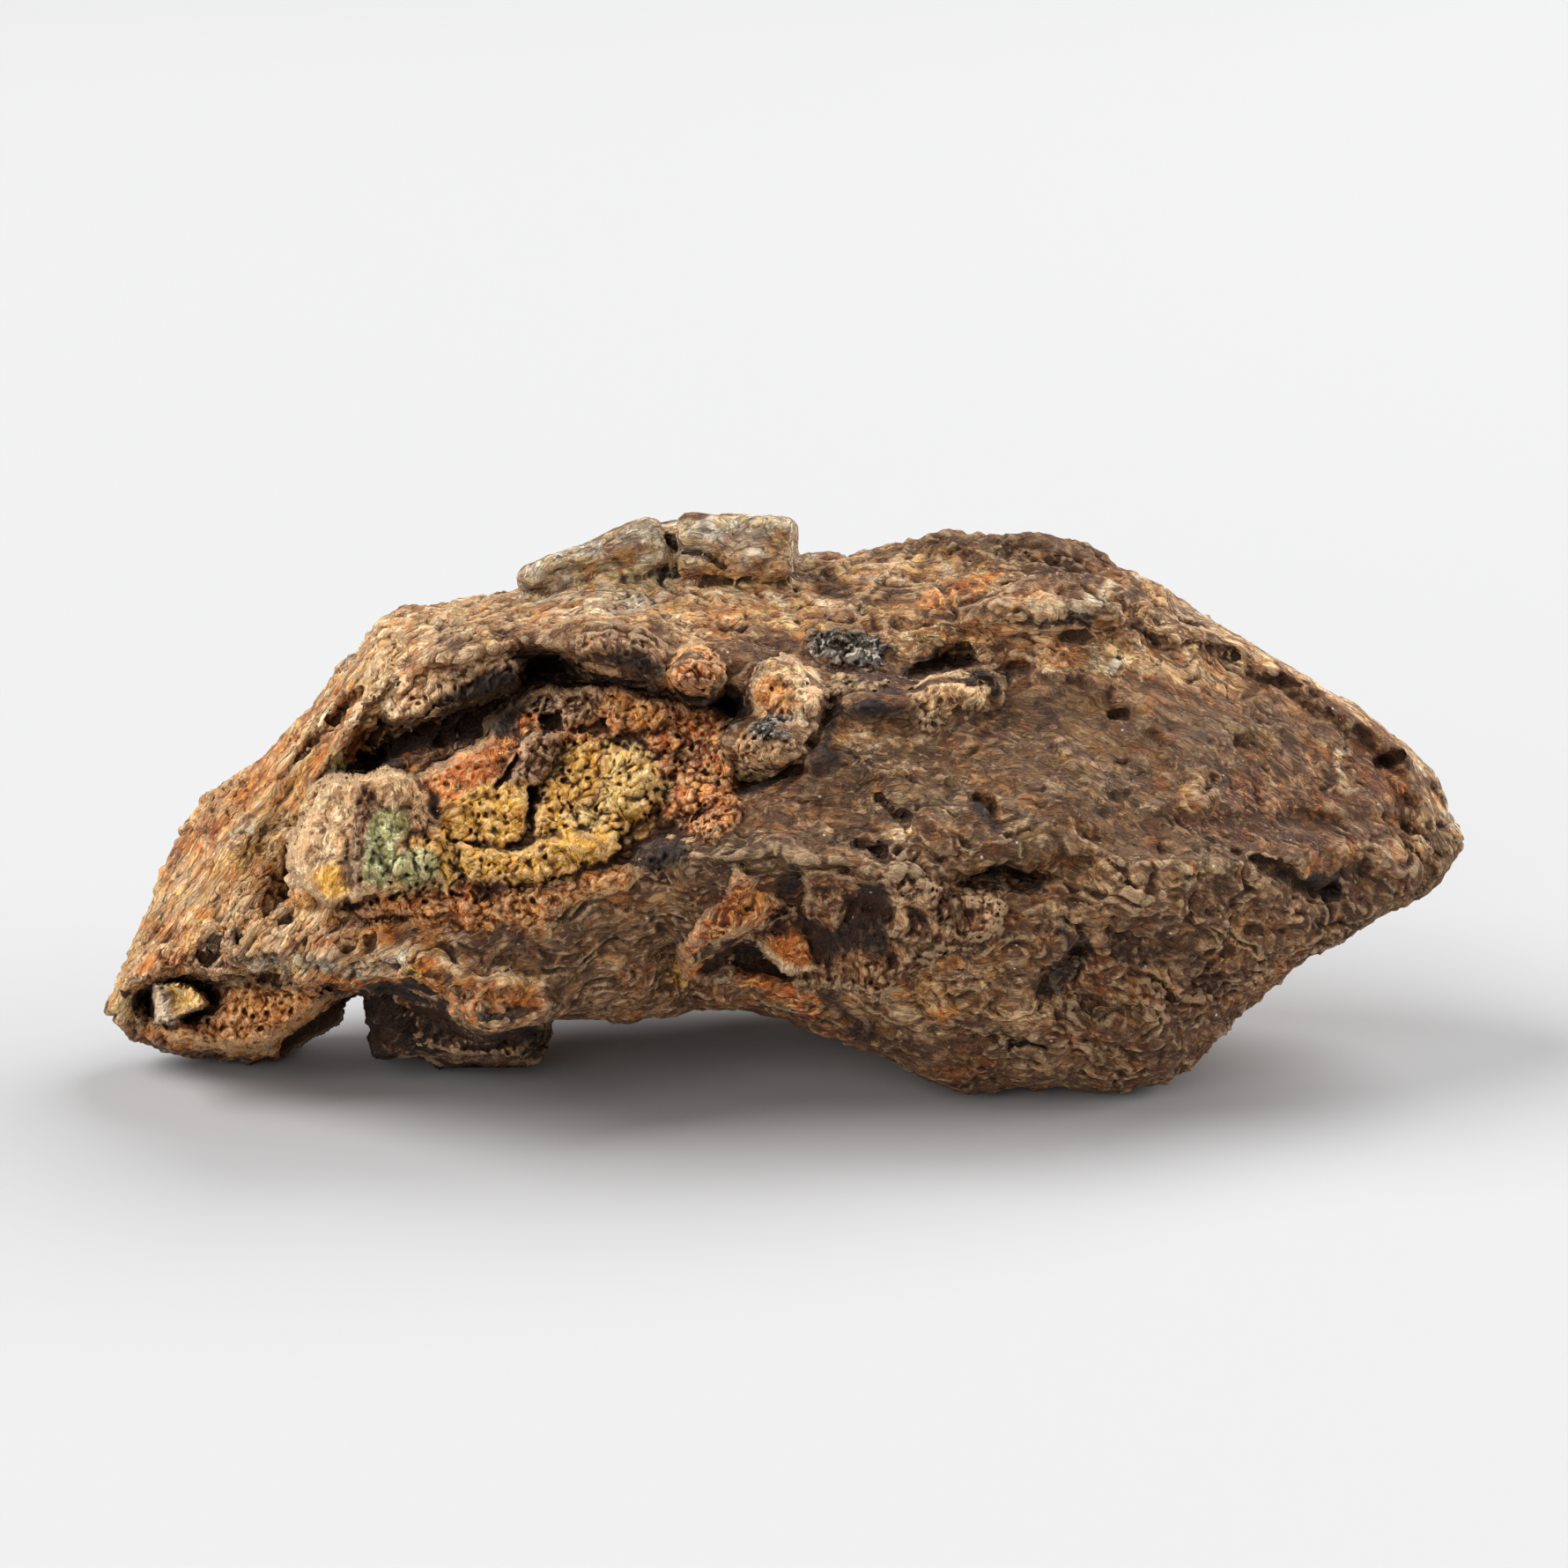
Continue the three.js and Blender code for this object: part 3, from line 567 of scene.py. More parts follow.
# The skin is made even and smoothed, the lumps are joined to it, the marks are pushed in and the
# fine relief goes on. What "edge" and "rise" say is how far each corner stands out of the mean of
# what lies close round it and farther round it. The side turned away is thinned first.
stone = bpy.data.objects.new("stone", copied_skin(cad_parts["meteorite"]))
bpy.context.scene.collection.objects.link(stone)
remeshed(stone, COARSE_SKIN)
skin = smoothed(corners_of(stone.data), edges_of(stone.data), 6)
put_corners(stone.data, skin)
stone.data = joined(stone.data, [chunk(*numbers) for numbers in CHUNKS])
remeshed(stone, COARSE_SKIN)
put_corners(stone.data, marked(corners_of(stone.data), normals_of(stone.data)))
remeshed(stone, FINE_SKIN)
edges = edges_of(stone.data)
skin = smoothed(corners_of(stone.data), edges, 2)
put_corners(stone.data, skin)
out = normals_of(stone.data)
skin = skin + out * relief(skin, out)[:, None]
put_corners(stone.data, skin)
out = normals_of(stone.data)
give(stone.data, "edge", np.sum((skin - smoothed(skin, edges, 4)) * out, axis=1))
give(stone.data, "rise", np.sum((skin - smoothed(skin, edges, 40)) * out, axis=1))
hidden = out[:, 1] - 0.3 * out[:, 2] > 0.15
thinned(stone, triangles_in(stone.data) * np.mean(~hidden) + HIDDEN_TRIANGLES, np.flatnonzero(hidden))
thinned(stone, SKIN_TRIANGLES)

# ---- The rust on the skin ------------------------------------------------------------------
# The kinds of rust that lie on it, each as strokes on the broad face: path, reach, flat share,
# and how thick it lies where that is less than 1. Some dark strokes are painted shade, as marked.
RUSTS = {
    "ochre": [
        ([(-28, 6.4), (-25, 10.4), (-22.4, 14.4), (-18.4, 18.6)], 4.2, 0.7),
        ([(-26.4, 6.8), (-22.6, 8.8), (-20, 14)], 2.2, 0.4, 0.9),
        ([(-27, 6.6), (-21, 7.2), (-15, 6.6)], 1.5, 0.4, 0.85),
        ([(-17, 20.4), (-11, 21.3), (-5, 22.2), (0.6, 22.3)], 1.8, 0.3, 0.6),
        ([(3, 22.8), (6, 22.6), (12, 21.9)], 1.3, 0.2, 0.55),
        ([(-16, 5), (-13.8, 4.1), (-11.2, 3.7)], 1.3, 0.7),
        ([(18.6, 13.4), (20.4, 15.6)], 1.6, 0.2, 0.25),
        ([(18, 9.4), (22, 9.6), (27, 10.6)], 1.2, 0.2, 0.3),
        ([(-16.6, 5.2), (-14.4, 4.4), (-12.6, 3.5), (-11, 3.2)], 0.45, 0.3, 0.9),
        ([(-28, 5.2), (-23, 5.0)], 0.4, 0.3, 0.8),
        ([(8, 20.4), (15, 20.4)], 1.2, 0.2, 0.55),
        ([(2, 16), (6, 15.6)], 0.9, 0.2, 0.5),
        ([(-8, 9), (-5, 10.6), (-3, 12)], 0.8, 0.2, 0.6),
        ([(0.1, 17.4)], 1.6, 0.6),
        ([(-0.6, 15.2)], 1.4, 0.4, 0.7),
    ],
    "tan": [
        ([(17.2, 21.7), (21, 19.9), (25.6, 17.2), (28.6, 14.9), (29.7, 12)], 0.9, 0.4, 0.9),
        ([(-4, 20.8), (2, 20.8), (8, 19.6)], 1.6, 0.3, 0.75),
        ([(-8, 21.2), (-1, 21.9)], 1.2, 0.3, 0.6),
        ([(3, 4.6), (7, 3.2)], 1.6, 0.3, 0.4),
        ([(7, 4.8), (11, 3.6)], 1.9, 0.4, 0.6),
        ([(7, 5), (12, 3.6), (17, 4.6), (20, 7)], 1.5, 0.3, 0.3),
        ([(-10, 5.4), (-2, 6)], 1.2, 0.2, 0.25),
        ([(16, 22.6), (16.4, 20.8), (18.4, 19.8)], 0.6, 0.3, 0.8),
        ([(20, 14), (23, 14.6), (24, 16)], 1.7, 0.3, 0.25),
        ([(-17, 19), (-13, 18.8)], 1.4, 0.4, 0.35),
        ([(4.2, 12.3), (5.6, 11.2)], 0.6, 0.2, 0.9),
        ([(12, 19.4), (20, 18.6)], 1.4, 0.3, 0.75),
        ([(28.6, 12.4), (28, 10.6)], 0.5, 0.3, 0.8),
    ],
    "orange": [
        ([(-17.3, 8), (-11, 7.8)], 1.2, 0.2, 0.8),
        ([(-21, 4.8), (-18.6, 4.7), (-16.4, 5.2)], 0.5, 0.3, 0.9),
        ([(-15.4, 4.5), (-13.6, 3.9), (-11.4, 3.6)], 1.1, 0.5, 0.9),
        ([(-28.4, 2.6), (-24.6, 2.2)], 0.6, 0.3, 0.6),
        ([(-16.6, 5.1), (-14, 4.4), (-12.4, 3.4)], 0.6, 0.3, 0.75),
        ([(6.2, 21.3), (8, 21.9), (9.4, 22.5)], 0.6, 0.2, 0.65),
        ([(7.6, 3.7)], 0.7, 0.2, 0.8),
        ([(-3.7, 18.2)], 1.3, 0.7),
        ([(-26.6, 2.6), (-24, 2.2), (-22, 2.2), (-20, 3.2)], 0.9, 0.5),
        ([(-14, 8.4), (-9, 8.8)], 0.9, 0.3, 0.7),
        ([(8, 20.2), (11, 20.2)], 0.8, 0.2, 0.5),
        ([(-27, 10), (-24, 12.6), (-22, 15.4)], 1.3, 0.2, 0.6),
        ([(-21.6, 13), (-19.8, 15.6)], 0.9, 0.2, 0.7),
        ([(-21, 8.6), (-19.6, 7.6), (-17, 7)], 0.8, 0.2, 0.7),
        ([(-27.6, 7), (-26, 5.9)], 0.9, 0.2, 0.6),
    ],
    "red": [
        ([(-23, 6.6), (-18, 6.8)], 0.7, 0.2, 0.45),
        ([(-18.6, 15.2), (-16.6, 14.6)], 1.2, 0.4, 0.8),
        ([(-28, 5.3), (-26, 5.6)], 0.6, 0.2, 0.8),
        ([(-2.6, 5.4), (0.4, 4.3), (1.2, 3.6)], 0.8, 0.3, 0.8),
        ([(26.6, 14), (27.6, 12.4)], 1.0, 0.2, 0.4),
        ([(-4, 12.6), (-2.6, 13)], 0.8, 0.2, 0.8),
    ],
    "yellow": [
        ([(-25.4, 7.6), (-24.4, 8.8)], 0.9, 0.2, 0.5),
        ([(-21.4, 13.4), (-20.6, 15.4)], 0.8, 0.2, 0.55),
        ([(-16.4, 5.1), (-14.4, 4.4)], 0.35, 0.3, 0.6),
        ([(-4.2, 4.9), (-3.9, 5.6)], 0.6, 0.3),
        ([(-24.6, 9.8), (-22.6, 10.4)], 1.1, 0.2, 0.55),
        ([(-7, 22.4), (-1, 23)], 0.8, 0.2, 0.35),
    ],
    "cream": [],  # on the crusts alone, as slate is
    "green": [
        ([(-19.4, 14.4), (-19.2, 13.9)], 0.45, 0.5),
        ([(-22.9, 11.1)], 0.4, 0.2, 0.5),
    ],
    "grey": [
        ([(-23, 5.5), (-17, 5.5)], 0.7, 0.3, 0.8),
        ([(-17.6, 5.6), (-15, 5.9)], 0.6, 0.2, 0.7),
        ([(-23.8, 11.5), (-22, 11.4)], 0.6, 0.2, 0.7),
        ([(-9.4, 21.8), (-5, 22.4)], 1.0, 0.4, 0.7),
        ([(17.6, 21.4), (21.2, 19.8), (25.6, 17.2), (28.6, 14.8), (29.4, 12)], 0.7, 0.4, 0.5),
        ([(24.9, 15.8), (24.9, 13.5)], 0.5, 0.3, 0.6),
        ([(-10.6, 22.6), (-5.4, 24.2), (0.6, 24.4)], 1.6, 0.5, 0.9),
        ([(-7, 21.6), (-5.4, 21.9)], 0.9, 0.2, 0.75),
        ([(12.8, 20.9), (15.6, 22.4)], 0.6, 0.2, 0.6),
        ([(-25.4, 7), (-24, 6.6)], 0.5, 0.2, 0.8),
        ([(13.4, 19), (14.4, 18.9)], 0.4, 0.2, 0.9),
    ],
    "slate": [],
    "dark": [
        # the next stroke: dark rust and painted shade in the slot under the brow's left end
        ([(-18.4, 14.1), (-16.8, 14.8), (-15, 15.7), (-12.8, 16.7)], 0.75, 0.7),
        ([(-18, 2), (-17.8, 3.6), (-16.4, 3.8), (-15.4, 2.6)], 1.3, 0.7),
        ([(-15.4, 2.6), (-12.6, 1.9), (-10.6, 2)], 0.9, 0.5, 0.6),
        # the next two strokes: dark rust and painted shade in the slots under the brow
        ([(-11.4, 18.7), (-9.4, 18.4), (-6, 17.4), (-2, 16.7)], 0.8, 0.6),
        ([(-17.4, 14.6), (-15, 15.9), (-12.6, 16.8)], 0.9, 0.5),
        # the next stroke: a dark crack and painted shade under the pitted lump
        ([(-2.4, 13.4), (0.4, 13.9)], 0.6, 0.4),
        ([(2.1, 14.4), (2.5, 16.8)], 0.5, 0.4, 0.9),
        ([(5.6, 18.2), (7.4, 19), (9.8, 18)], 0.5, 0.3),
        ([(-17.8, 2.6), (-16.2, 2.8)], 1.2, 0.2, 0.6),
        ([(7.2, 8.6), (9.6, 9.6), (11.3, 9.3)], 0.45, 0.4),
        ([(-2, 5.9), (-0.8, 6), (0.2, 5.2)], 0.7, 0.5),
        ([(0.5, 9.1)], 0.9, 0.7),
        ([(22.4, 9.4), (24.4, 8.8)], 0.6, 0.4),
        ([(12.8, 7), (13, 5.8), (11.6, 4.6)], 0.9, 0.2, 0.7),
        ([(15, 6.6), (18, 6), (19, 4.4)], 1.6, 0.2, 0.5),
        ([(11.6, 20.7), (13.4, 20.5)], 0.6, 0.3, 0.8),
        ([(-29.6, 3.8), (-28.4, 2.4), (-25, 1.8)], 0.5, 0.3, 0.3),
        ([(-28.5, 4), (-27.8, 4.5)], 0.5, 0.5),
        # the next stroke: a painted shadow under the lip over the left pocket
        ([(-25.8, 4.7), (-23.4, 4.7), (-20.4, 4.1)], 0.35, 0.4),
        ([(9, 12.8), (9.5, 12)], 0.5, 0.3, 0.8),
        ([(1.4, 4.8), (3, 3.4), (5, 1.8)], 0.7, 0.2, 0.6),
    ],
    "umber": [
        ([(-17.8, 3.2), (-15.6, 3)], 1.8, 0.7),
        ([(-15.6, 2.8), (-10.5, 2.2)], 1.1, 0.6),
        ([(-0.6, 4), (3, 2.4)], 1.0, 0.3, 0.8),
        ([(12, 5.4), (18, 5.4)], 2.4, 0.2, 0.6),
        ([(25.4, 15.6), (27, 12.6)], 1.2, 0.4, 0.8),
        ([(19.6, 12.4), (24, 13.6)], 2.0, 0.4, 0.7),
        ([(16.4, 21), (17.2, 20), (20.3, 19.2), (23.4, 17.7), (25.4, 16), (27, 14.6), (27.8, 12.8),
          (28, 11.2)], 0.4, 0.3, 0.9),
    ],
    "olive": [
        ([(-9, 6.5), (-4, 6.8)], 3.0, 0.4, 0.5),
        ([(4, 14), (12, 13.5), (20, 15)], 3.2, 0.5, 0.9),
        ([(8.4, 11), (14, 10.4), (19, 10.4)], 1.4, 0.4, 0.7),
        ([(6.2, 12.8), (8.6, 11.8)], 1.4, 0.5),
        ([(-17, 19), (-12.6, 18.8)], 1.2, 0.4, 0.8),
        ([(-3, 10.6), (5, 10.4)], 1.6, 0.3),
        ([(9, 17.2), (13, 16), (16, 14.6)], 1.8, 0.3, 0.9),
        ([(27.6, 15.6), (29.6, 10.5)], 1.2, 0.4, 0.6),
        ([(2, 14), (8, 11.4)], 2.2, 0.2, 0.8),
        ([(4, 23.9), (11, 24)], 0.8, 0.2, 0.7),
    ],
}
skin = corners_of(stone.data)
out = normals_of(stone.data)
# The kinds' rims are bent by noise, and the skin keeps coordinates drawn out along the crest.
edge_bend = np.stack([layered(skin, 2.4, 61 + 5 * k, layers=4, keep=0.7) for k in range(3)], axis=1)
painted = seen(skin + 1.1 * edge_bend)
painted_wander = wander_at(skin)
painted_front = soft_step(-out[:, 1], -0.35, 0.15)
# On the back the kinds lie in broad drifts: the size of a drift, mm, and the noise it starts at.
DRIFTS = {"ochre": (8.0, 0.1), "olive": (9.0, 0.0), "umber": (6.0, 0.1), "grey": (5.0, 0.25),
          "orange": (3.5, 0.25)}
for number, (rust, strokes) in enumerate(RUSTS.items()):
    share = ground(painted, painted_wander, painted_front, strokes)
    if rust in DRIFTS:
        size, low = DRIFTS[rust]
        drift = soft_step(layered(skin, size, 301 + number, layers=4), low, low + 0.3)
        share = np.maximum(share, 0.8 * drift * (1 - painted_front))
    give(stone.data, rust, share)
give(stone.data, "drawn_out", (along_crest(skin) + 0.5 * edge_bend) / 1000)
rested = to_world(skin)
rested[:, 2] = np.maximum(rested[:, 2], 0)  # the feet are worn flat where they rest
put_corners(stone.data, rested)
stone.data.polygons.foreach_set("use_smooth", np.ones(len(stone.data.polygons), dtype=bool))


# ---- The material --------------------------------------------------------------------------


class Shade:
    """One socket of a material. Arithmetic on it adds Math nodes, and node() adds any other."""

    def __init__(self, tree, socket=None):
        self.tree = tree
        self.socket = socket

    def node(self, kind, settings={}, sockets={}, out=0):
        made = self.tree.nodes.new("ShaderNode" + kind)
        for name, value in settings.items():
            setattr(made, name, value)
        for name, value in sockets.items():
            if isinstance(value, Shade):
                self.tree.links.new(value.socket, made.inputs[name])
            else:
                made.inputs[name].default_value = value
        return Shade(self.tree, made.outputs[out])

    def maths(self, operation, *values):
        return self.node("Math", {"operation": operation}, dict(enumerate(values)))

    def __add__(self, other):
        return self.maths("ADD", self, other)

    def __mul__(self, other):
        return self.maths("MULTIPLY", self, other)

    def __sub__(self, other):
        return self.maths("SUBTRACT", self, other)

    def __rsub__(self, other):
        return self.maths("SUBTRACT", other, self)

    __radd__ = __add__
    __rmul__ = __mul__

    def between(self, low, high):
        """0 where this is low, 1 where it is high, and smooth between."""
        ends = {"Value": self, "From Min": low, "From Max": high}
        return self.node("MapRange", {"interpolation_type": "SMOOTHSTEP"}, ends)

    def blend(self, first, second, way="MIX"):
        """The first colour where this is 0 and the second, or both multiplied, where it is 1."""
        settings = {"data_type": "RGBA", "blend_type": way}
        return self.node("Mix", settings, {0: self, 6: first, 7: second}, out=2)

    def grain(self, size, detail=3.0, rough=0.6, bend=0.0):
        """Noise from 0 to 1 on these coordinates, with lumps of that size in metres."""
        sockets = {"Vector": self, "Scale": 1 / size, "Detail": detail, "Roughness": rough,
                   "Distortion": bend}
        return self.node("TexNoise", {}, sockets)


def rgb(red, green, blue):
    """A colour named by its share of full light in each of red, green and blue."""
    return (red, green, blue, 1.0)


material = bpy.data.materials.new("rusted_stone")
material.use_nodes = True
tree = material.node_tree
shader = tree.nodes["Principled BSDF"]
here = Shade(tree).node("TexCoord", out="Object")


def carried(name):
    return Shade(tree).node("Attribute", {"attribute_name": name}, out="Fac")


drawn = Shade(tree).node("Attribute", {"attribute_name": "drawn_out"}, out="Vector")
broad = here.grain(0.0045, 2.0)
patchy = here.grain(0.0016, 4.0, 0.6, 0.6)
speckle = drawn.grain(0.0005, 4.0, 0.7, 0.4)
flecks = drawn.grain(0.00026, 3.0, 0.65, 0.4)
gaps = drawn.grain(0.0004, 3.0, 0.6, 0.6)
fine = here.grain(0.00016, 2.0, 0.6, 0.3)
rise = carried("rise")
crumbly = carried("crumbly")
edge = carried("edge")
wobble = drawn.node("TexNoise", {}, {"Vector": drawn, "Scale": 1 / 0.0007, "Detail": 4.0}, out=1)
stray = {0: wobble, 1: (0.0009,) * 3, 2: drawn}
strayed = wobble.node("VectorMath", {"operation": "MULTIPLY_ADD"}, stray)
plating = {"Vector": strayed, "Scale": 1 / 0.0007}
flake = strayed.node("TexVoronoi", {}, plating, out=1)
flake = flake.node("SeparateColor", {}, {0: flake})
crack = strayed.node("TexVoronoi", {"feature": "DISTANCE_TO_EDGE"}, plating)
plates = speckle.between(0.46, 0.54)
chips = flecks.between(0.47, 0.55)


def laid(name, over, light, body, dark, soft):
    """One kind of rust laid over a colour, its strokes broken up by noise: a body with dark
    crevices and light flecks in it."""
    share = carried(name)
    share = (share + (patchy - 0.5) * 1.3 * share.between(0.0, 0.3)).between(0.5 - soft, 0.5 + soft)
    own = (speckle + (broad - 0.5) * 0.5).between(0.38, 0.54).blend(dark, body)
    own = (flecks + (patchy - 0.5) * 0.6).between(0.5, 0.64).blend(own, light)
    return share.blend(over, own)


colour = (speckle + (patchy - 0.5) * 0.8).between(0.35, 0.65).blend(
    rgb(0.1, 0.042, 0.018), rgb(0.31, 0.16, 0.072))
lighter = speckle.between(0.4, 0.6).blend(rgb(0.18, 0.083, 0.035), rgb(0.45, 0.25, 0.12))
colour = broad.between(0.42, 0.62).blend(colour, lighter)
# The kinds of rust in the order that they lie in: light flecks, body, dark crevices, and how soft
# the rim is.
PALETTE = {
    "olive": ((0.4, 0.25, 0.135), (0.23, 0.13, 0.062), (0.1, 0.05, 0.022), 0.4),
    "umber": ((0.46, 0.23, 0.1), (0.22, 0.09, 0.038), (0.07, 0.025, 0.011), 0.4),
    "tan": ((1.0, 0.74, 0.43), (0.8, 0.47, 0.23), (0.34, 0.165, 0.068), 0.4),
    "ochre": ((1.0, 0.81, 0.54), (1.0, 0.66, 0.36), (0.72, 0.335, 0.135), 0.45),
    "orange": ((1.0, 0.52, 0.17), (0.82, 0.31, 0.07), (0.32, 0.085, 0.018), 0.4),
    "red": ((1.0, 0.48, 0.15), (0.74, 0.22, 0.045), (0.25, 0.054, 0.014), 0.35),
    "yellow": ((1.0, 0.64, 0.18), (0.86, 0.44, 0.055), (0.36, 0.13, 0.014), 0.35),
    "grey": ((1.0, 0.88, 0.68), (0.92, 0.76, 0.56), (0.46, 0.34, 0.24), 0.4),
    "cream": ((1.0, 0.84, 0.42), (1.0, 0.65, 0.2), (0.88, 0.42, 0.075), 0.35),
    "green": ((1.0, 0.98, 0.66), (0.74, 0.76, 0.36), (0.34, 0.31, 0.1), 0.35),
    "slate": ((0.6, 0.54, 0.45), (0.17, 0.145, 0.12), (0.022, 0.017, 0.014), 0.28),
    "dark": ((0.085, 0.048, 0.032), (0.028, 0.015, 0.01), (0.009, 0.006, 0.004), 0.28),
}
for kind, (light, body, dark, soft) in PALETTE.items():
    colour = laid(kind, colour, rgb(*light), rgb(*body), rgb(*dark), soft)
TINTS = [  # the tint, the size of its patches in metres, and the ends of the noise that they show at
    (rgb(1.0, 0.91, 0.66), 0.0013, 0.47, 0.58),
    (rgb(1.0, 0.74, 0.5), 0.0017, 0.52, 0.61),
    (rgb(0.62, 0.52, 0.54), 0.0011, 0.56, 0.64),
]
for tint, size, low, high in TINTS:
    patch = here.grain(size, 4.0, 0.65, 0.8).between(low, high)
    colour = (patch * (1 - crumbly * 0.6)).blend(colour, tint, "MULTIPLY")
flaked = flake.between(0.5, 0.7) * (1 - crumbly * 0.7) * 0.6
colour = flaked.blend(colour, rgb(0.56, 0.44, 0.36), "MULTIPLY")
colour = ((1 - crack.between(0.0, 0.1)) * (1 - crumbly) * 0.35).blend(colour, rgb(0.1, 0.045, 0.02))
blots = here.grain(0.0012, 4.0, 0.7, 1.5).between(0.58, 0.66)
colour = (blots * 0.4).blend(colour, rgb(0.11, 0.05, 0.033))
colour = ((1 - gaps.between(0.36, 0.44)) * 0.6).blend(colour, rgb(0.05, 0.017, 0.006))
# Painted shade: corners that lie below their broad surroundings are darkened, more in the crusts.
sunk_shade = (rise * -1.0).between(0.03, 0.4)
colour = (sunk_shade * (0.65 + crumbly * 0.2)).blend(colour, rgb(0.06, 0.021, 0.008))
# Painted shade in pits and creases: corners that lie below what is close round them are darkened.
pit_shade = (edge * -1.0).between(0.008, 0.05)
colour = (pit_shade * 0.75).blend(colour, rgb(0.045, 0.016, 0.006))
# Rubbed edges and a painted highlight: corners that stand out of what lies close round them are
# lightened, except on the dark rust and the slate.
wear_and_highlight = edge.between(0.01, 0.05) * (1 - carried("dark")) * (1 - carried("slate")) * 0.35
colour = wear_and_highlight.blend(colour, rgb(1.0, 0.7, 0.4))
# Painted glints: rare pale specks on the flakes.
painted_glints = 1 - here.node("TexVoronoi", {}, {"Vector": here, "Scale": 1 / 0.0008}).between(0.05, 0.1)
colour = (painted_glints * flake.between(0.78, 0.8) * 0.7).blend(colour, rgb(1.0, 0.92, 0.8))
tree.links.new(colour.socket, shader.inputs["Base Color"])
height = (flake * 0.5 + crack.between(0.0, 0.12) * 0.4) * (1 - crumbly) + plates * 0.3
height = height + chips * 0.2 + speckle * 0.6 + flecks * 0.3
height = height + fine * 0.25 + gaps.between(0.36, 0.45) * 0.25
bump = height.node("Bump", {}, {"Height": height, "Distance": 0.0002, "Strength": 1.0})
tree.links.new(bump.socket, shader.inputs["Normal"])
shader.inputs["Roughness"].default_value = 0.75
shader.inputs["Specular IOR Level"].default_value = 0.4
stone.data.materials.append(material)
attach(stone, "root")
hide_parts("meteorite")

# ---- The crusts ----------------------------------------------------------------------------
# Loose rust that grew in the hollow, the pocket and the torn recess, and on the brow: spongy lumps,
# slabs, sheets and crumbs of iron oxide, each crust one lump of it, rusted fast to the stone.

CRUST_SPACING = 0.055  # spacing of a crust's mesh, mm
RAY_SPACING = 0.3  # spacing of the rays that find the skin under it, mm
CRUST_START = 0.5  # how far under the skin its front is where no form has raised it, mm
CRUST_BACK = 1.5  # how far behind the deepest skin under it its back lies, mm
THINNEST = 0.2  # how far before its back its front stays, mm
stone.data.calc_loop_triangles()
skin_faces = np.empty(len(stone.data.loop_triangles) * 3, dtype=np.int32)
stone.data.loop_triangles.foreach_get("vertices", skin_faces)
skin_tree = BVHTree.FromPolygons(skin.tolist(), skin_faces.reshape(-1, 3).tolist())


def blurred(grid, reach):
    """The mean of a grid over a square that reaches so many places each way, its rim carried on."""
    side = 2 * reach + 1
    sums = np.pad(grid, ((reach + 1, reach), (reach + 1, reach)), mode="edge").cumsum(0).cumsum(1)
    within = sums[side:, side:] - sums[:-side, side:] - sums[side:, :-side] + sums[:-side, :-side]
    return within / side**2


def skin_heights(across, up):
    """How far the skin stands toward the eye from the plane Y = 0, at each place of a grid: where
    rays from the eye meet it, smoothed over squares of three by three rays and read between."""
    xs, zs = (np.arange(way[0], way[-1] + RAY_SPACING, RAY_SPACING) for way in (across, up))
    heights = np.full((len(xs), len(zs)), np.nan)
    for (i, x), (j, z) in itertools.product(enumerate(xs), enumerate(zs)):
        hit = skin_tree.ray_cast(EYE.tolist(), (np.array([x, 0, z]) - EYE).tolist())[0]
        if hit is not None:
            heights[i, j] = -hit[1]
    heights = blurred(np.where(np.isnan(heights), np.nanmin(heights), heights), 1)
    along = np.stack([np.interp(up, zs, row) for row in heights])
    return np.stack([np.interp(across, xs, column) for column in along.T], axis=1)


def built(forms, here, bent, under):
    """The heights over the grid with each form laid on those before it, how rough and how covered
    each place is, and its share of each rust. A form is an outline, a rust, a height, a slope, a
    bevel and a roughness. Its top is a plane of that height and slope, or lies that high on the
    skin where the slope is None, and it blends into what is under it over its bevel to each side
    of its outline. A form of an outline, a rust and a bevel only colours what is under it, and an
    outline, "cut", a depth and a bevel take that much off it."""
    top = under - CRUST_START
    rough = np.zeros(len(here))
    cover = np.zeros(len(here))
    kinds = {rust: np.zeros(len(here)) for rust in RUSTS}
    for outline, rust, *build in forms:
        bevel = build[2] if len(build) == 4 else build[-1]
        low, high = np.min(outline, axis=0) - 1, np.max(outline, axis=0) + 1
        chosen = np.flatnonzero(np.all((here > low) & (here < high), axis=1))
        deep = depth_in(outline, bent[chosen]) + (0.0 if rust == "cut" else 0.6 * bevel)
        share = soft_step(deep, -bevel, bevel)
        if rust == "cut":
            top[chosen] -= build[0] * share
            continue
        if len(build) == 4:
            height, slope, _, grain = build
            middle = np.mean(outline, axis=0)
            rise = under[chosen] if slope is None else (here[chosen] - middle) @ np.array(slope)
            rise = rise + height - 0.3 * (1 - soft_step(deep, 0, 0.7))
            share *= rise > top[chosen]
            top[chosen] += share * (rise - top[chosen])
            rough[chosen] += share * (grain - rough[chosen])
            cover[chosen] = np.maximum(cover[chosen], share)
        for other in kinds:
            kinds[other][chosen] += share * ((other == rust) - kinds[other][chosen])
    return top, rough, cover, kinds


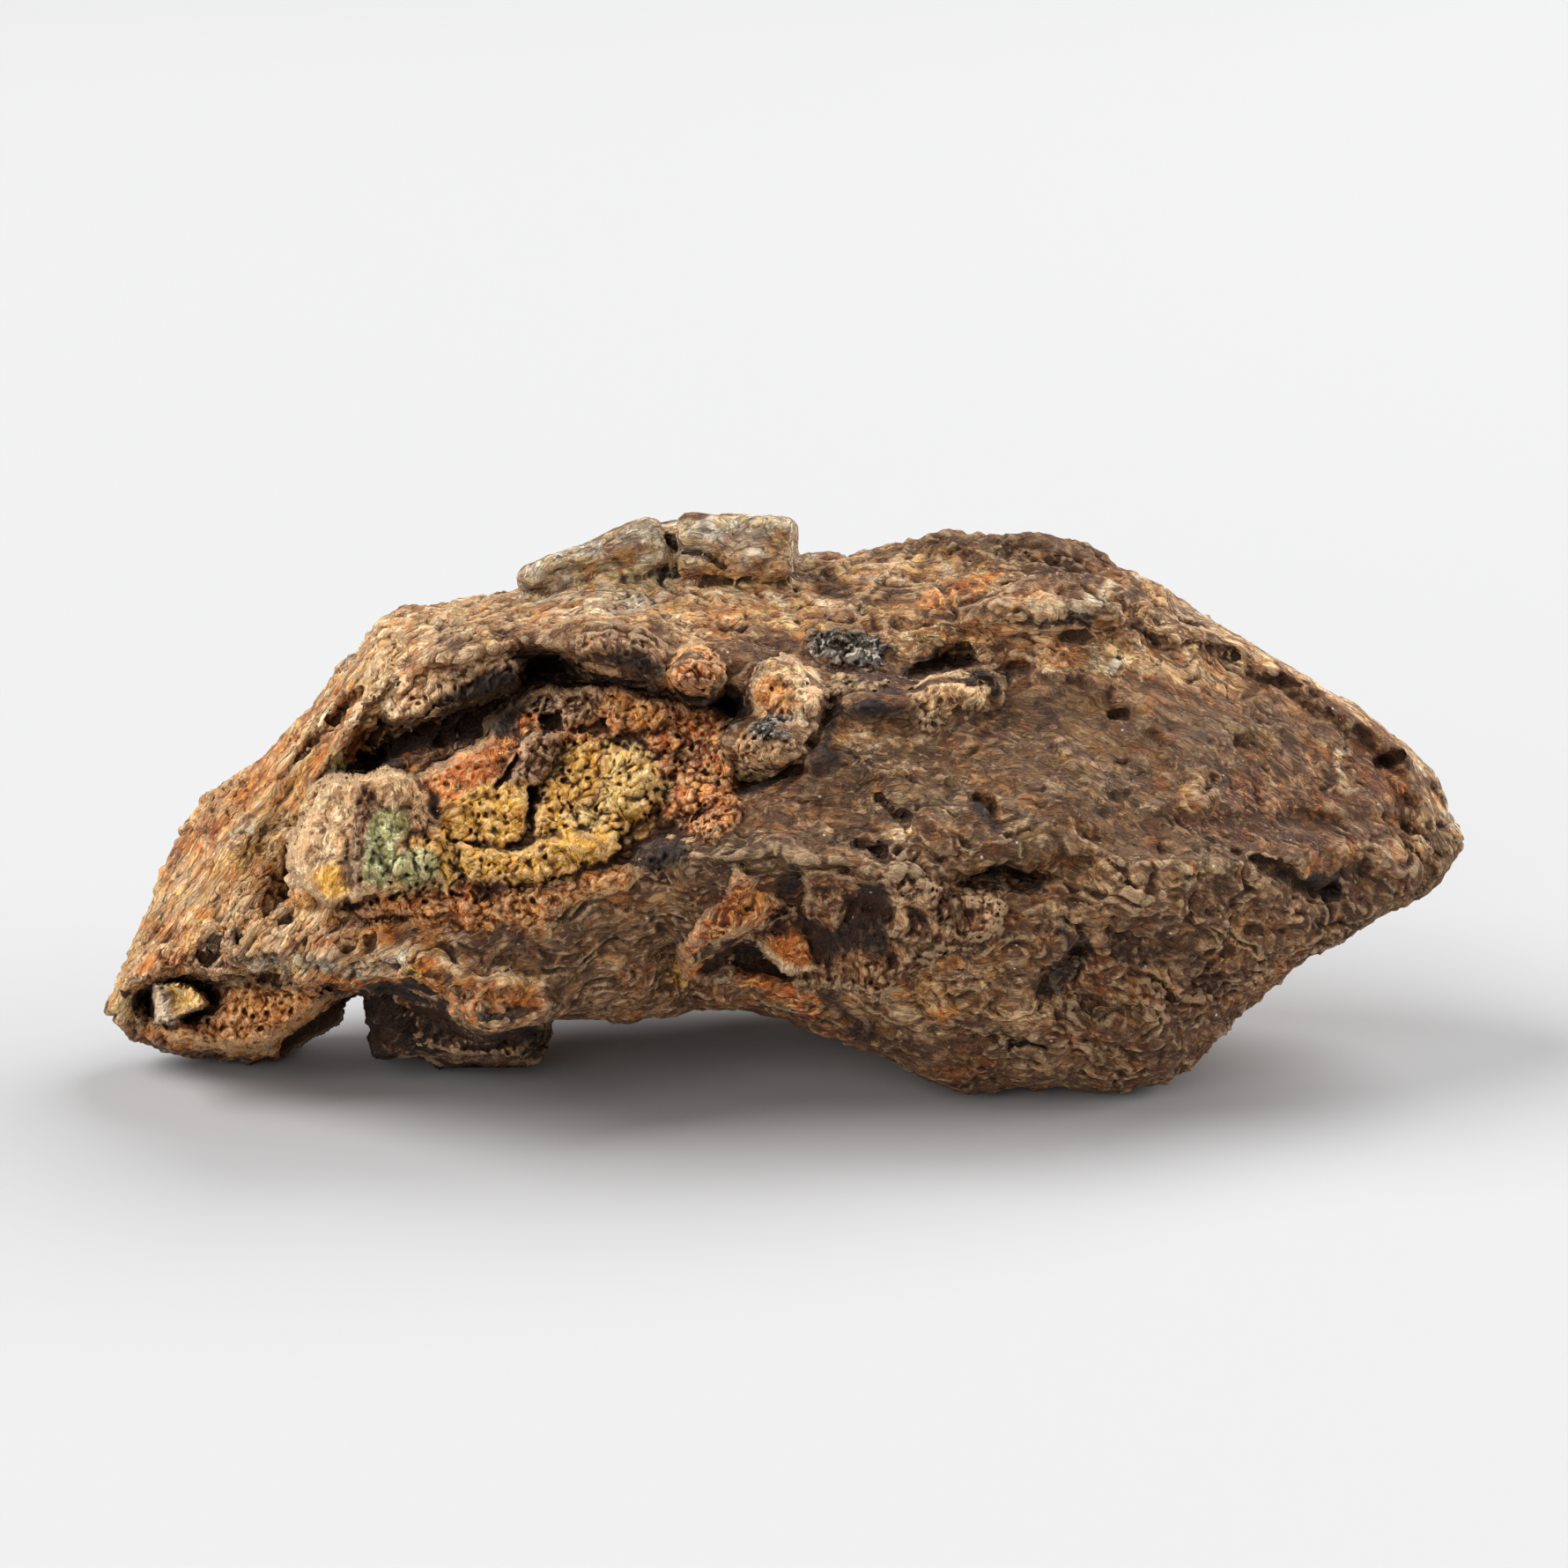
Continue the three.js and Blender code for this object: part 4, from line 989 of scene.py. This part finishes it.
def roughened(top, rough, own, bend, seed):
    """The heights with spongy lumps, crumbs and pores where they are rough, and with folds, fibres
    and grit all over."""
    within = own + 0.3 * bend
    sponge = billowed(within, 1.0, seed + 41, layers=4)
    near, second, number = cells(within, 0.5, seed + 51)
    crumbs = (1 - near) * (0.3 + 0.7 * number) - 0.5 * (1 - soft_step(second - near, 0.0, 0.2))
    pore_near, _, pore_number = cells(within, 0.45, seed + 61)
    pores = (1 - soft_step(pore_near, 0.12, 0.4)) * (pore_number > 0.4)
    fibres = ridged(along_crest(own) + 0.3 * bend, 0.8, seed + 71, layers=3)
    top = top + 0.7 * layered(own, 1.8, seed + 91, layers=3)
    top = top + rough * (0.6 * (sponge - 0.45) + 0.3 * (crumbs - 0.2) - 0.42 * pores)
    return top + 0.2 * (1 - 0.4 * rough) * (fibres - 0.5) + 0.05 * noise(own, 0.22, seed + 81)


def closed_up(mesh):
    """Makes the open mesh of a height field a closed shell: its spare corners go, and its rim is
    filled."""
    work = bmesh.new()
    work.from_mesh(mesh)
    spare = [corner for corner in work.verts if not corner.link_faces]
    bmesh.ops.delete(work, geom=spare, context="VERTS")
    rim = [edge for edge in work.edges if edge.is_boundary]
    bmesh.ops.holes_fill(work, edges=rim, sides=0)
    work.to_mesh(mesh)
    work.free()


def crust(name, span, forms, seed):
    """A closed shell whose front is a height toward the eye over a grid of places (x, z) on the
    face, built up form by form, roughened, and closed by a flat back deep in the stone."""
    across = np.arange(span[0], span[1], CRUST_SPACING)
    up = np.arange(span[2], span[3], CRUST_SPACING)
    x, z = (grid.ravel() for grid in np.meshgrid(across, up, indexing="ij"))
    shape = (len(across), len(up))
    here = np.stack([x, z], axis=1)
    under = skin_heights(across, up).ravel()
    level = np.stack([x, -under, z], axis=1)
    stray = [0.22 * layered(level, 1.1, seed + 3 * k, layers=5, keep=0.7) for k in range(2)]
    bent = here + np.stack(stray, axis=1)
    top, rough, cover, kinds = built(forms, here, bent, under)
    own = np.stack([x, top * 0.7, z], axis=1)
    bend = np.stack([noise(own, 0.9, seed + 31 + k) for k in range(3)], axis=1)
    top = roughened(top, rough, own, bend, seed)
    raised = cover > 0.05
    back = max(under[raised].min() - CRUST_BACK, 0.0)
    top = np.where(raised, np.maximum(top, back + THINNEST), back)
    lean = np.hypot(*np.gradient(blurred(top.reshape(shape), 1), CRUST_SPACING)).ravel()
    own[:, 1] = top
    shift = [0.22 * layered(own, 0.9, seed + 101 + 3 * k, layers=3) for k in range(2)]
    points = behind(here + soft_step(lean, 1.5, 4)[:, None] * np.stack(shift, axis=1), -top)
    row, column = np.meshgrid(np.arange(shape[0] - 1), np.arange(shape[1] - 1), indexing="ij")
    a = (row * shape[1] + column).ravel()
    quads = np.stack([a, a + shape[1], a + shape[1] + 1, a + 1], axis=1)
    kept = quads[np.any(raised[quads], axis=1)]
    mesh = mesh_of(name, to_world(points), kept.tolist())
    grid = top.reshape(shape)
    steps = round(0.25 / CRUST_SPACING)
    give(mesh, "edge", np.clip(0.35 * (grid - blurred(grid, steps)), -0.06, 0.06).ravel())
    give(mesh, "rise", np.clip(grid - blurred(grid, 4 * steps), -0.4, 0.4).ravel())
    for rust, share in kinds.items():
        give(mesh, rust, blurred(share.reshape(shape), steps).ravel())
    give(mesh, "crumbly", np.ones(len(top)))
    give(mesh, "drawn_out", (own * (0.95, 0.8, 0.6) + 0.3 * bend) / 1000)
    closed_up(mesh)
    mesh.polygons.foreach_set("use_smooth", np.ones(len(mesh.polygons), dtype=bool))
    mesh.materials.append(material)
    piece = bpy.data.objects.new(name, mesh)
    bpy.context.scene.collection.objects.link(piece)
    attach(piece, "root")


# The knob on the hollow's lip, with a corner to the front, and the hollow's floor of slabs and
# spongy lumps. Heights with a slope are from the plane Y = 0.
crust("hollow_crust", (-22.0, -1.6, 7.0, 18.0), [
    ([(-15.6, 13.2), (-13.6, 14.5), (-12.5, 15.3), (-11.8, 16.3), (-10.8, 17.4), (-8, 17.6),
      (-4, 16.9), (-2.2, 15.6), (-1.9, 12.4), (-4, 11.2), (-7.6, 9.4), (-9, 8.6), (-13, 7.8),
      (-18.4, 7.9), (-18, 9), (-15.6, 12)], "red", 8.1, (0, -0.6), 0.4, 1.0),
    # the next form: dark rust and painted shade at the hollow's top, under the brow
    ([(-12.8, 16.1), (-11.2, 17.2), (-10.4, 17.3), (-10, 16.6), (-10.2, 15.8), (-11.2, 15),
      (-12.2, 15.2)], "dark", 6.0, (0, -0.8), 0.3, 0.6),
    ([(-15.9, 13.7), (-14.6, 14.4), (-13.5, 15), (-12.6, 15.5), (-11.9, 15.4), (-11.3, 14.8),
      (-11.6, 14.1), (-12.2, 13.5), (-13.1, 13.2), (-13.7, 12.6), (-14.6, 12.2), (-15.3, 12.6),
      (-15.7, 13.3)], "red", 8.1, (0.05, -0.75), 0.3, 0.4),
    ([(-15.4, 13.4), (-14.4, 13.2), (-13, 13.6), (-12, 14.2), (-12.4, 13.6), (-13.6, 12.8),
      (-14.8, 12.6)], "red", 0.4),
    ([(-11.9, 13.6), (-11.4, 14.6), (-11.2, 15.3), (-10.5, 15.9), (-9.7, 15.7), (-9.9, 14.8),
      (-10.2, 13.9), (-10.8, 13.5)], "umber", 8.6, (-0.3, -0.5), 0.35, 0.9),
    ([(-10.8, 17), (-10.2, 17.6), (-9.2, 17.4), (-8.2, 17.6), (-7.6, 17.2), (-8, 16.5), (-9.2, 16.2),
      (-10.2, 16.6)], "umber", 6.3, (0, -0.7), 0.35, 0.9),
    ([(-8, 16.9), (-7.2, 17.6), (-6.2, 17.3), (-5, 16.9), (-4.8, 16.3), (-6, 15.9), (-7.2, 16.1)],
     "orange", 6.7, (0, -0.9), 0.35, 0.9),
    ([(-10, 16.2), (-8, 16.2), (-5.2, 16.5), (-3, 16.7), (-2.1, 15.8), (-2.2, 13.2), (-3, 12.2),
      (-4.5, 12.4), (-5.2, 13.6), (-5.4, 14.8), (-7, 15.4), (-8.6, 15.2), (-9.8, 15.4)], "red", 7.5,
     (0, -0.95), 0.3, 1.0),
    ([(-10, 15.1), (-8.4, 15.3), (-7, 15.6), (-5.6, 15.2), (-5, 14.2), (-4.8, 13.4), (-5.8, 12.6),
      (-6.6, 11.8), (-8, 11.2), (-9.4, 11.6), (-10.2, 12.4), (-10.4, 13.6)], "yellow", 8.7, (0, -0.9),
     0.5, 0.85),
    ([(-7.6, 15.3), (-6.2, 15), (-5.4, 14.2), (-6.2, 13.2), (-7.2, 12), (-8, 12.4), (-7.4, 13.8)],
     "cream", 8.95, (0, -0.9), 0.4, 0.9),
    ([(-4.6, 14.6), (-3.6, 14.8), (-2.8, 14), (-3.4, 13.4), (-4.4, 13.6)], "orange", 0.3),
    ([(-15, 12.1), (-14.2, 12.5), (-13.2, 13.2), (-12.2, 13.3), (-11.2, 13.4), (-11.05, 12.4),
      (-11, 11.8), (-11.6, 11), (-12.4, 10.8), (-13.4, 10.9), (-14.2, 10.9), (-14.8, 11.3)], "yellow",
     10.1, (0, -0.45), 0.4, 0.7),
    ([(-11.1, 13.4), (-10.7, 13.3), (-10.5, 12.3), (-10.7, 11.6), (-11.1, 11.8)], "cut", 1.6, 0.12),
    ([(-14.8, 11.1), (-13.4, 10.9), (-12.2, 10.6), (-11.2, 11.1), (-10.9, 11.7), (-11.4, 10.7),
      (-12.2, 10.3), (-13.4, 10.6)], "cut", 0.8, 0.1),
    ([(-10.5, 16.6), (-9.7, 16.6), (-9.6, 15.9), (-10.4, 15.8)], "cut", 1.5, 0.2),
    ([(-12.6, 13.4), (-12, 14), (-11.5, 14.9), (-11.3, 14.5), (-11.9, 13.6), (-12.5, 13.2)], "cut",
     0.9, 0.1),
    ([(-10.7, 12.5), (-9.4, 12), (-8, 11.6), (-7, 11.4), (-8, 10.9), (-9.6, 11.2), (-10.8, 11.4)],
     "yellow", 10.4, (0, -0.6), 0.3, 0.8),
    ([(-14, 10.7), (-12.6, 10.6), (-11.8, 10.3), (-11, 10.5), (-10.2, 11.1), (-9.2, 11.2),
      (-8.6, 10.8), (-7.6, 10.8), (-7.6, 10.2), (-9, 9.8), (-10, 9.3), (-12, 9.2), (-13.6, 9.4),
      (-14, 10)], "yellow", 11.4, (0, -0.4), 0.4, 0.8),
    ([(-10, 10.9), (-8.6, 11.2), (-7.4, 11.1), (-7.2, 10.7), (-7.6, 10.4), (-9, 10.2)], "orange", 11.6,
     (0, -0.3), 0.2, 0.2),
    ([(-9.6, 11.2), (-8, 11.6), (-6.2, 12.4), (-5, 12), (-5.4, 10.6), (-7, 9.8), (-9.2, 9.8)],
     "yellow", 0.5),
    ([(-9.2, 12), (-7.4, 12.8), (-5.8, 13.6), (-5, 13.2), (-6.6, 12), (-8.6, 11.4)], "cream", 0.4),
    ([(-18.4, 8.6), (-16.6, 8.9), (-15, 9.2), (-13.6, 9.5), (-11, 9.3), (-9.2, 9.4), (-8.6, 8.9),
      (-9.4, 8.2), (-11, 7.6), (-14, 7.3), (-17.6, 7.4), (-18.8, 7.9)], "orange", 0.4, None, 0.7, 1.0),
    ([(-9.4, 9.4), (-8, 10), (-7.2, 10.4), (-6.4, 11), (-5, 11.6), (-3.6, 12.2), (-4.8, 12.9),
      (-6.2, 12.2), (-7.4, 11.3), (-8.4, 10.2)], "yellow", 0.7, None, 0.6, 0.6),
    ([(-9, 9.6), (-8.4, 10.1), (-7.1, 10.2), (-6.4, 9.8), (-6.8, 9.1), (-8.4, 9)], "orange", 0.8, None,
     0.4, 0.9),
    ([(-9.4, 10), (-8.2, 11.2), (-6.6, 12.2), (-5.2, 12.8), (-4.6, 12.2), (-5.4, 11.6), (-6.4, 10.7),
      (-7.4, 10.1)], "yellow", 0.5),
    ([(-6.7, 10.1), (-5.6, 11.1), (-4.6, 11.4), (-4, 10.8), (-4.4, 9.9), (-5.4, 9.5)], "umber", 0.6,
     None, 0.5, 0.6),
    ([(-6.4, 10.2), (-5.5, 11), (-4.6, 11.2), (-4.2, 10.7), (-4.6, 10), (-5.4, 9.7)], "dark", 0.5),
    ([(-5.6, 12.6), (-4.8, 13.3), (-3.4, 13.4), (-2.2, 13.4), (-1.8, 12.2), (-3, 11.2), (-4.6, 11.8)],
     "red", 1.0, None, 0.4, 1.0),
    # the knob: its left face, its right face, its pointed top and the green and yellow on it
    ([(-19.9, 13.7), (-18.7, 13.8), (-18, 13.8), (-18.5, 12.4), (-18.8, 10.4), (-18.8, 8.5),
      (-19.8, 8.3), (-20.7, 8.9), (-21.5, 9.8), (-21.4, 10.8), (-20.5, 12.3)], "tan", 10.6,
     (0.5, -0.2), 0.25, 0.2),
    ([(-18, 13.8), (-17.2, 13.9), (-16.2, 13.7), (-15.6, 12.8), (-15.1, 11.6), (-14.6, 11),
      (-13.8, 10.2), (-13.7, 9.5), (-15, 9.1), (-17, 8.9), (-18.7, 8.5), (-18.8, 10.4), (-18.5, 12.4)],
     "tan", 10.7, (-0.42, -0.25), 0.25, 0.4),
    ([(-18, 13.9), (-17.2, 14.1), (-16.3, 13.8), (-16.5, 13), (-17, 12.4), (-17.6, 12.9)], "tan", 11.0,
     (-0.2, -0.8), 0.2, 0.2),
    ([(-18.6, 9.2), (-18.6, 10.3), (-18.2, 11.5), (-17.6, 12.3), (-16.6, 12.3), (-16.5, 11.4),
      (-16.8, 10.4), (-17.2, 9.2)], "green", 0.3),
    ([(-17.1, 11.2), (-16.5, 10.6), (-15.6, 11.2), (-15, 11.4), (-14.4, 10.9), (-13.7, 10.1),
      (-13.6, 9.5), (-15, 9.1), (-16.6, 8.9), (-17.6, 9), (-17.1, 10)], "cream", 11.0, (-0.3, -0.2),
     0.4, 0.9),
    ([(-16.4, 10.8), (-15, 11.2), (-14.2, 10.6), (-14.4, 9.6), (-16, 9.6)], "yellow", 0.5),
    ([(-16.8, 10.2), (-15.9, 10.6), (-15.2, 10.2), (-15.4, 9.4), (-16.6, 9.2)], "green", 0.3),
    ([(-20.4, 9.4), (-19.4, 9.8), (-19.1, 8.8), (-19.8, 8.4)], "yellow", 0.3),
    ([(-18.3, 13.5), (-17.8, 13.2), (-18.1, 12), (-18.4, 10.6), (-18.5, 8.8), (-18.8, 8.8),
      (-18.7, 12)], "umber", 0.2),
], 100)

# The pale nugget and the orange crumbs in the pocket of the left end.
crust("pocket_crust", (-28.8, -18.8, 1.2, 5.2), [
    ([(-26.6, 3), (-25, 3.6), (-24.5, 4.1), (-23.6, 4.4), (-22.6, 4.2), (-21.4, 4.1), (-20.6, 3.9),
      (-19.9, 3.7), (-19.9, 3.5), (-20.8, 2.9), (-21.8, 2.4), (-22.8, 2.1), (-24.4, 2.1),
      (-26.4, 2.4)], "orange", 2.3, None, 0.5, 1.0),
    ([(-27.5, 4.5), (-26.6, 4.6), (-26, 4.5), (-25.4, 4.05), (-25.2, 3.8), (-25.7, 3.6), (-26.3, 3.3),
      (-26.9, 3), (-27.4, 3.1), (-27.5, 3.8)], "grey", 5.3, None, 0.2, 0.15),
    ([(-26.8, 4.6), (-26, 4.4), (-25.6, 3.8), (-26.6, 3.6)], "cream", 0.4),
    ([(-26.2, 3.1), (-25.4, 3.4), (-25, 2.8), (-25.6, 2.3)], "red", 0.1),
], 200)

# The rough lumps of the dark block under the left end.
crust("block_crust", (-17.4, -10.4, 1.0, 4.6), [
    ([(-16.4, 4.2), (-14, 3.9), (-12.6, 3.4), (-11.2, 3.4), (-11, 2.4), (-11.2, 1.7), (-12, 1.4),
      (-14.4, 1.5), (-16, 2.2)], "umber", 0.4, None, 0.5, 1.0),
    ([(-15.6, 3.4), (-14.8, 3.6), (-14.4, 2.8), (-15, 2.2)], "dark", 0.3),
    ([(-13.4, 3.2), (-11.4, 3.4), (-10.6, 2.4), (-12.2, 2.2)], "dark", 0.5),
], 600)

# Folded sheets of rust and torn lumps in the recess under the shelf.
crust("recess_crust", (-4.6, 10.4, 3.8, 10.2), [
    ([(-3.6, 6), (-1.8, 9), (1, 8), (1.4, 9.4), (5, 9), (9.6, 8.8), (9, 7), (6.6, 5.6), (4.4, 4.6),
      (2.6, 4.6), (0.4, 4.8), (-2, 4.9), (-3.6, 5)], "umber", 0.4, None, 0.5, 0.8),
    ([(-2.2, 6.2), (-1.6, 6.5), (-1.1, 6.5), (-0.5, 5.8), (0.3, 5.2), (0.6, 4.8), (-0.4, 4.6),
      (-2, 5)], "cut", 1.4, 0.25),
    ([(-0.3, 8.9), (0.1, 9.8), (0.9, 9.9), (1.2, 9.4), (1.2, 8.3), (0.3, 8.3)], "cut", 2.0, 0.25),
    ([(-1.9, 9.7), (-1.2, 9.3), (-1.1, 8.7), (-1.6, 8.1), (-2.4, 7.4), (-3.1, 6.9), (-3.6, 6.3),
      (-3.3, 5.4), (-3.6, 4.9), (-4.2, 5.2), (-4.3, 6.4), (-3.6, 7.3), (-2.4, 8.3)], "red", 0.9, None,
     0.25, 0.15),
    ([(-1.3, 8.9), (-0.4, 8.6), (0.2, 8.2), (-0.4, 7.7), (-1.1, 7.1), (-2, 6.6), (-3, 6.3),
      (-3.2, 6.7), (-2.4, 7.1), (-1.6, 7.8)], "red", 0.6, None, 0.2, 0.1),
    ([(-1.2, 6.8), (-0.8, 7.4), (-0.2, 7.85), (0.6, 7.8), (1.1, 7.4), (1.25, 6.4), (1.4, 5.7),
      (1.8, 5.4), (1.2, 5.2), (0.4, 5.2), (-0.3, 5.7), (-0.8, 6.3)], "red", 7.9, (0.1, -0.3), 0.15,
     0.08),
    ([(-1.1, 6.6), (-0.6, 6.3), (-0.2, 5.8), (0.5, 5.4), (1.3, 5.4), (1.8, 5.5), (1.3, 5.15),
      (0.3, 5.1), (-0.4, 5.6), (-0.8, 6.1)], "ochre", 0.15),
    ([(-3.4, 6.2), (-2.3, 6.3), (-2, 5.3), (-2.8, 4.8), (-3.4, 5)], "olive", 0.7, None, 0.3, 0.4),
    ([(1.15, 9.6), (2.2, 9.6), (3.4, 9.4), (3.4, 8.6), (3, 7.9), (2.5, 7.1), (1.9, 7.2), (1.2, 7.7),
      (1.1, 8.7)], "umber", 1.2, None, 0.2, 0.35),
    ([(1.2, 7.5), (2, 7), (2.7, 7.3), (3.2, 8.1), (3.4, 8.9), (5, 8.9), (4.95, 7.2), (4.6, 6.1),
      (3.8, 5.9), (3.1, 6), (2.6, 5.6), (1.6, 5.9)], "dark", 0.8, None, 0.4, 0.3),
    ([(2.1, 5.4), (2.7, 5.8), (3.6, 6), (4.4, 5.7), (4.9, 5.2), (4.6, 4.6), (4, 4.1), (3.4, 4.4),
      (2.4, 4.8)], "umber", 1.2, None, 0.4, 0.7),
    ([(5, 8.8), (6, 9.1), (7, 8.9), (8.2, 8.9), (9.8, 8.9), (9.8, 7.7), (9, 6.9), (7.6, 6.7),
      (6.6, 5.9), (5.2, 6), (4.9, 7)], "umber", 1.2, None, 0.35, 0.9),
    ([(5.1, 8.5), (5.5, 8.5), (5.9, 7.3), (5.4, 7.1)], "tan", 1.5, None, 0.15, 0.4),
    ([(6.1, 8.5), (6.6, 8.5), (7.1, 7.2), (6.6, 7)], "tan", 1.5, None, 0.15, 0.4),
    ([(7.3, 8.6), (7.8, 8.6), (8.2, 7.5), (7.7, 7.3)], "olive", 1.5, None, 0.15, 0.4),
    ([(8.9, 9), (9.8, 8.8), (9.6, 7.6), (9, 7.2), (8.6, 8)], "umber", 1.2, None, 0.3, 0.6),
    ([(5, 7), (6.8, 7), (7, 6.3), (5.6, 6)], "olive", 1.4, None, 0.3, 0.6),
], 300)

# The brow's fringe and hanging lump, and the rust ball beside them.
crust("brow_crust", (-19.4, -2.3, 14.2, 20.8), [
    ([(-17.6, 19.3), (-15.6, 19.9), (-13.6, 19.9), (-12, 19.4), (-11.5, 18.7), (-11.6, 18.1),
      (-12.6, 17.6), (-13.6, 17.4), (-14.8, 17), (-16, 16.6), (-17, 16.3), (-17.6, 16.9), (-17.9, 18)],
     "tan", 5.3, (0.35, -0.7), 0.35, 0.8),
    ([(-14.6, 17.8), (-13.4, 18.8), (-11.6, 19.2), (-11.4, 18), (-12.6, 17.4), (-13.6, 17.2),
      (-14.8, 16.8)], "umber", 0.5),
    ([(-15.6, 17.1), (-14.4, 17.6), (-13.2, 18.1), (-12, 18.6), (-11.5, 18.2), (-11.6, 17.8),
      (-13.6, 17.2), (-15.6, 16.6)], "dark", 0.35),
    ([(-17.6, 17.4), (-16.4, 19.2), (-14, 19.8), (-12.4, 19.4), (-14.4, 18.2), (-15.8, 17.2),
      (-17, 16.6)], "ochre", 0.6),
    ([(-9, 20.2), (-7.4, 20.3), (-5.8, 19.9), (-5, 19.2), (-4.95, 18.4), (-5.2, 17.8), (-5.7, 17.7),
      (-6.2, 18), (-7.4, 18.3), (-8.8, 18.5), (-9.2, 19.2)], "umber", 0.45, None, 0.4, 0.6),
    ([(-8.6, 18.9), (-7, 19.1), (-5.6, 18.8), (-5.4, 18.2), (-6.4, 18), (-8.6, 18.4)], "dark", 0.5),
    ([(-8.6, 18.8), (-7.4, 18.6), (-6.4, 18.3), (-7, 18.1), (-8.8, 18.4)], "tan", 0.2),
    ([(-4.9, 18.3), (-4.6, 19), (-3.9, 19.5), (-3, 19.4), (-2.5, 18.6), (-2.5, 17.8), (-3.1, 17.2),
      (-4.2, 17.2), (-4.8, 17.6)], "red", 0.55, None, 0.3, 1.2),
], 400)

# The ochre lump and the pitted lump by the hollow, the crystalline patch and what lies round it.
crust("middle_crust", (-2.4, 10.2, 13.6, 20.8), [
    ([(-1.2, 17.9), (-0.6, 18.6), (0.2, 18.9), (1.2, 18.6), (1.9, 17.8), (1.6, 16.7), (1, 15.9),
      (0.2, 16.3), (-0.8, 16.8), (-1.3, 17.3)], "ochre", 0.5, None, 0.3, 0.6),
    ([(-1.2, 17.8), (-0.6, 18.2), (0.2, 17.6), (0, 16.6), (-0.8, 16.7)], "orange", 0.5),
    ([(-2, 15.2), (-1.2, 16.2), (-0.6, 16.5), (0.3, 16.2), (0.8, 15.4), (1, 14.9), (0.2, 14.6),
      (-0.8, 14), (-1.9, 13.8), (-2.1, 14.6)], "tan", 0.5, None, 0.3, 1.0),
    ([(-1.4, 16.1), (-0.6, 16.5), (0.3, 16.2), (0.7, 15.7), (-0.4, 15.6), (-1.3, 15.8)], "slate", 0.3),
    ([(1.4, 20.1), (2.6, 20.3), (3.8, 20.2), (4.8, 19.9), (5.4, 19.3), (4.8, 18.7), (3.6, 18.5),
      (2.2, 18.9), (1.3, 19.4)], "slate", 0.45, None, 0.3, 1.0),
    ([(2.2, 18.7), (4, 18.3), (5.6, 18.1), (7.4, 18.7), (8.6, 18.6), (9.4, 18), (9, 17.2), (7.8, 16.6),
      (7.2, 16), (6.2, 15.9), (6, 16.8), (5.4, 17.7), (3.4, 17.7), (2.4, 17.4)], "olive", 0.3, None,
     0.5, 0.9),
    ([(6.4, 18.2), (8, 18.2), (8.8, 17.4), (7.4, 16.8), (6.4, 17.2)], "tan", 0.6),
    ([(3, 17.2), (3.6, 17.5), (5, 17.6), (5.9, 17.3), (5.9, 16.8), (5, 16.5), (3.6, 16.5), (3, 16.8)],
     "dark", 0.3, None, 0.3, 0.0),
], 500)

# ---- Floor, light and camera ---------------------------------------------------------------
# A sheet of white paper under four broad soft lights, the strongest from the upper left.

floor = bpy.data.objects.new("paper", mesh_of("paper", np.array(
    [[-3, -3, 0], [3, -3, 0], [3, 5, 0], [-3, 5, 0]], dtype=float), [[0, 1, 2, 3]]))
bpy.context.scene.collection.objects.link(floor)
paper = bpy.data.materials.new("paper")
paper.use_nodes = True
paper.node_tree.nodes["Principled BSDF"].inputs["Base Color"].default_value = (0.52, 0.52, 0.525, 1)
paper.node_tree.nodes["Principled BSDF"].inputs["Roughness"].default_value = 0.9
floor.data.materials.append(paper)


def facing(at, target):
    return (Vector(target) - Vector(at)).to_track_quat("-Z", "Y")


def area_light(name, at, size, power):
    lamp = bpy.data.lights.new(name, "AREA")
    lamp.shape = "DISK"
    lamp.size = size
    lamp.energy = power
    holder = bpy.data.objects.new(name, lamp)
    holder.location = at
    holder.rotation_mode = "QUATERNION"
    holder.rotation_quaternion = facing(at, (0, 0, 0.01))
    bpy.context.scene.collection.objects.link(holder)


area_light("left_box", (-2.1, 0.0, 2.1), 2.4, 96.0)
area_light("back_box", (1.5, 1.5, 2.1), 2.4, 78.0)
area_light("right_box", (2.8, 0.0, 1.05), 2.4, 50.0)
area_light("front_box", (-1.2, -2.4, 1.2), 2.4, 36.0)
world = bpy.data.worlds.new("room")
world.use_nodes = True
world.node_tree.nodes["Background"].inputs["Color"].default_value = (1, 1, 1, 1)
world.node_tree.nodes["Background"].inputs["Strength"].default_value = 0.14
bpy.context.scene.world = world

eye, aim = to_world(np.array([EYE, EYE * (1, 0, 1)]))
camera = bpy.data.objects.new("camera", bpy.data.cameras.new("camera"))
camera.data.lens = 85
camera.data.sensor_width = 36
camera.data.clip_start = 0.01
camera.location = eye
camera.rotation_mode = "QUATERNION"
camera.rotation_quaternion = facing(eye, aim)
bpy.context.scene.collection.objects.link(camera)
bpy.context.scene.camera = camera
bpy.context.scene.view_settings.view_transform = "Standard"
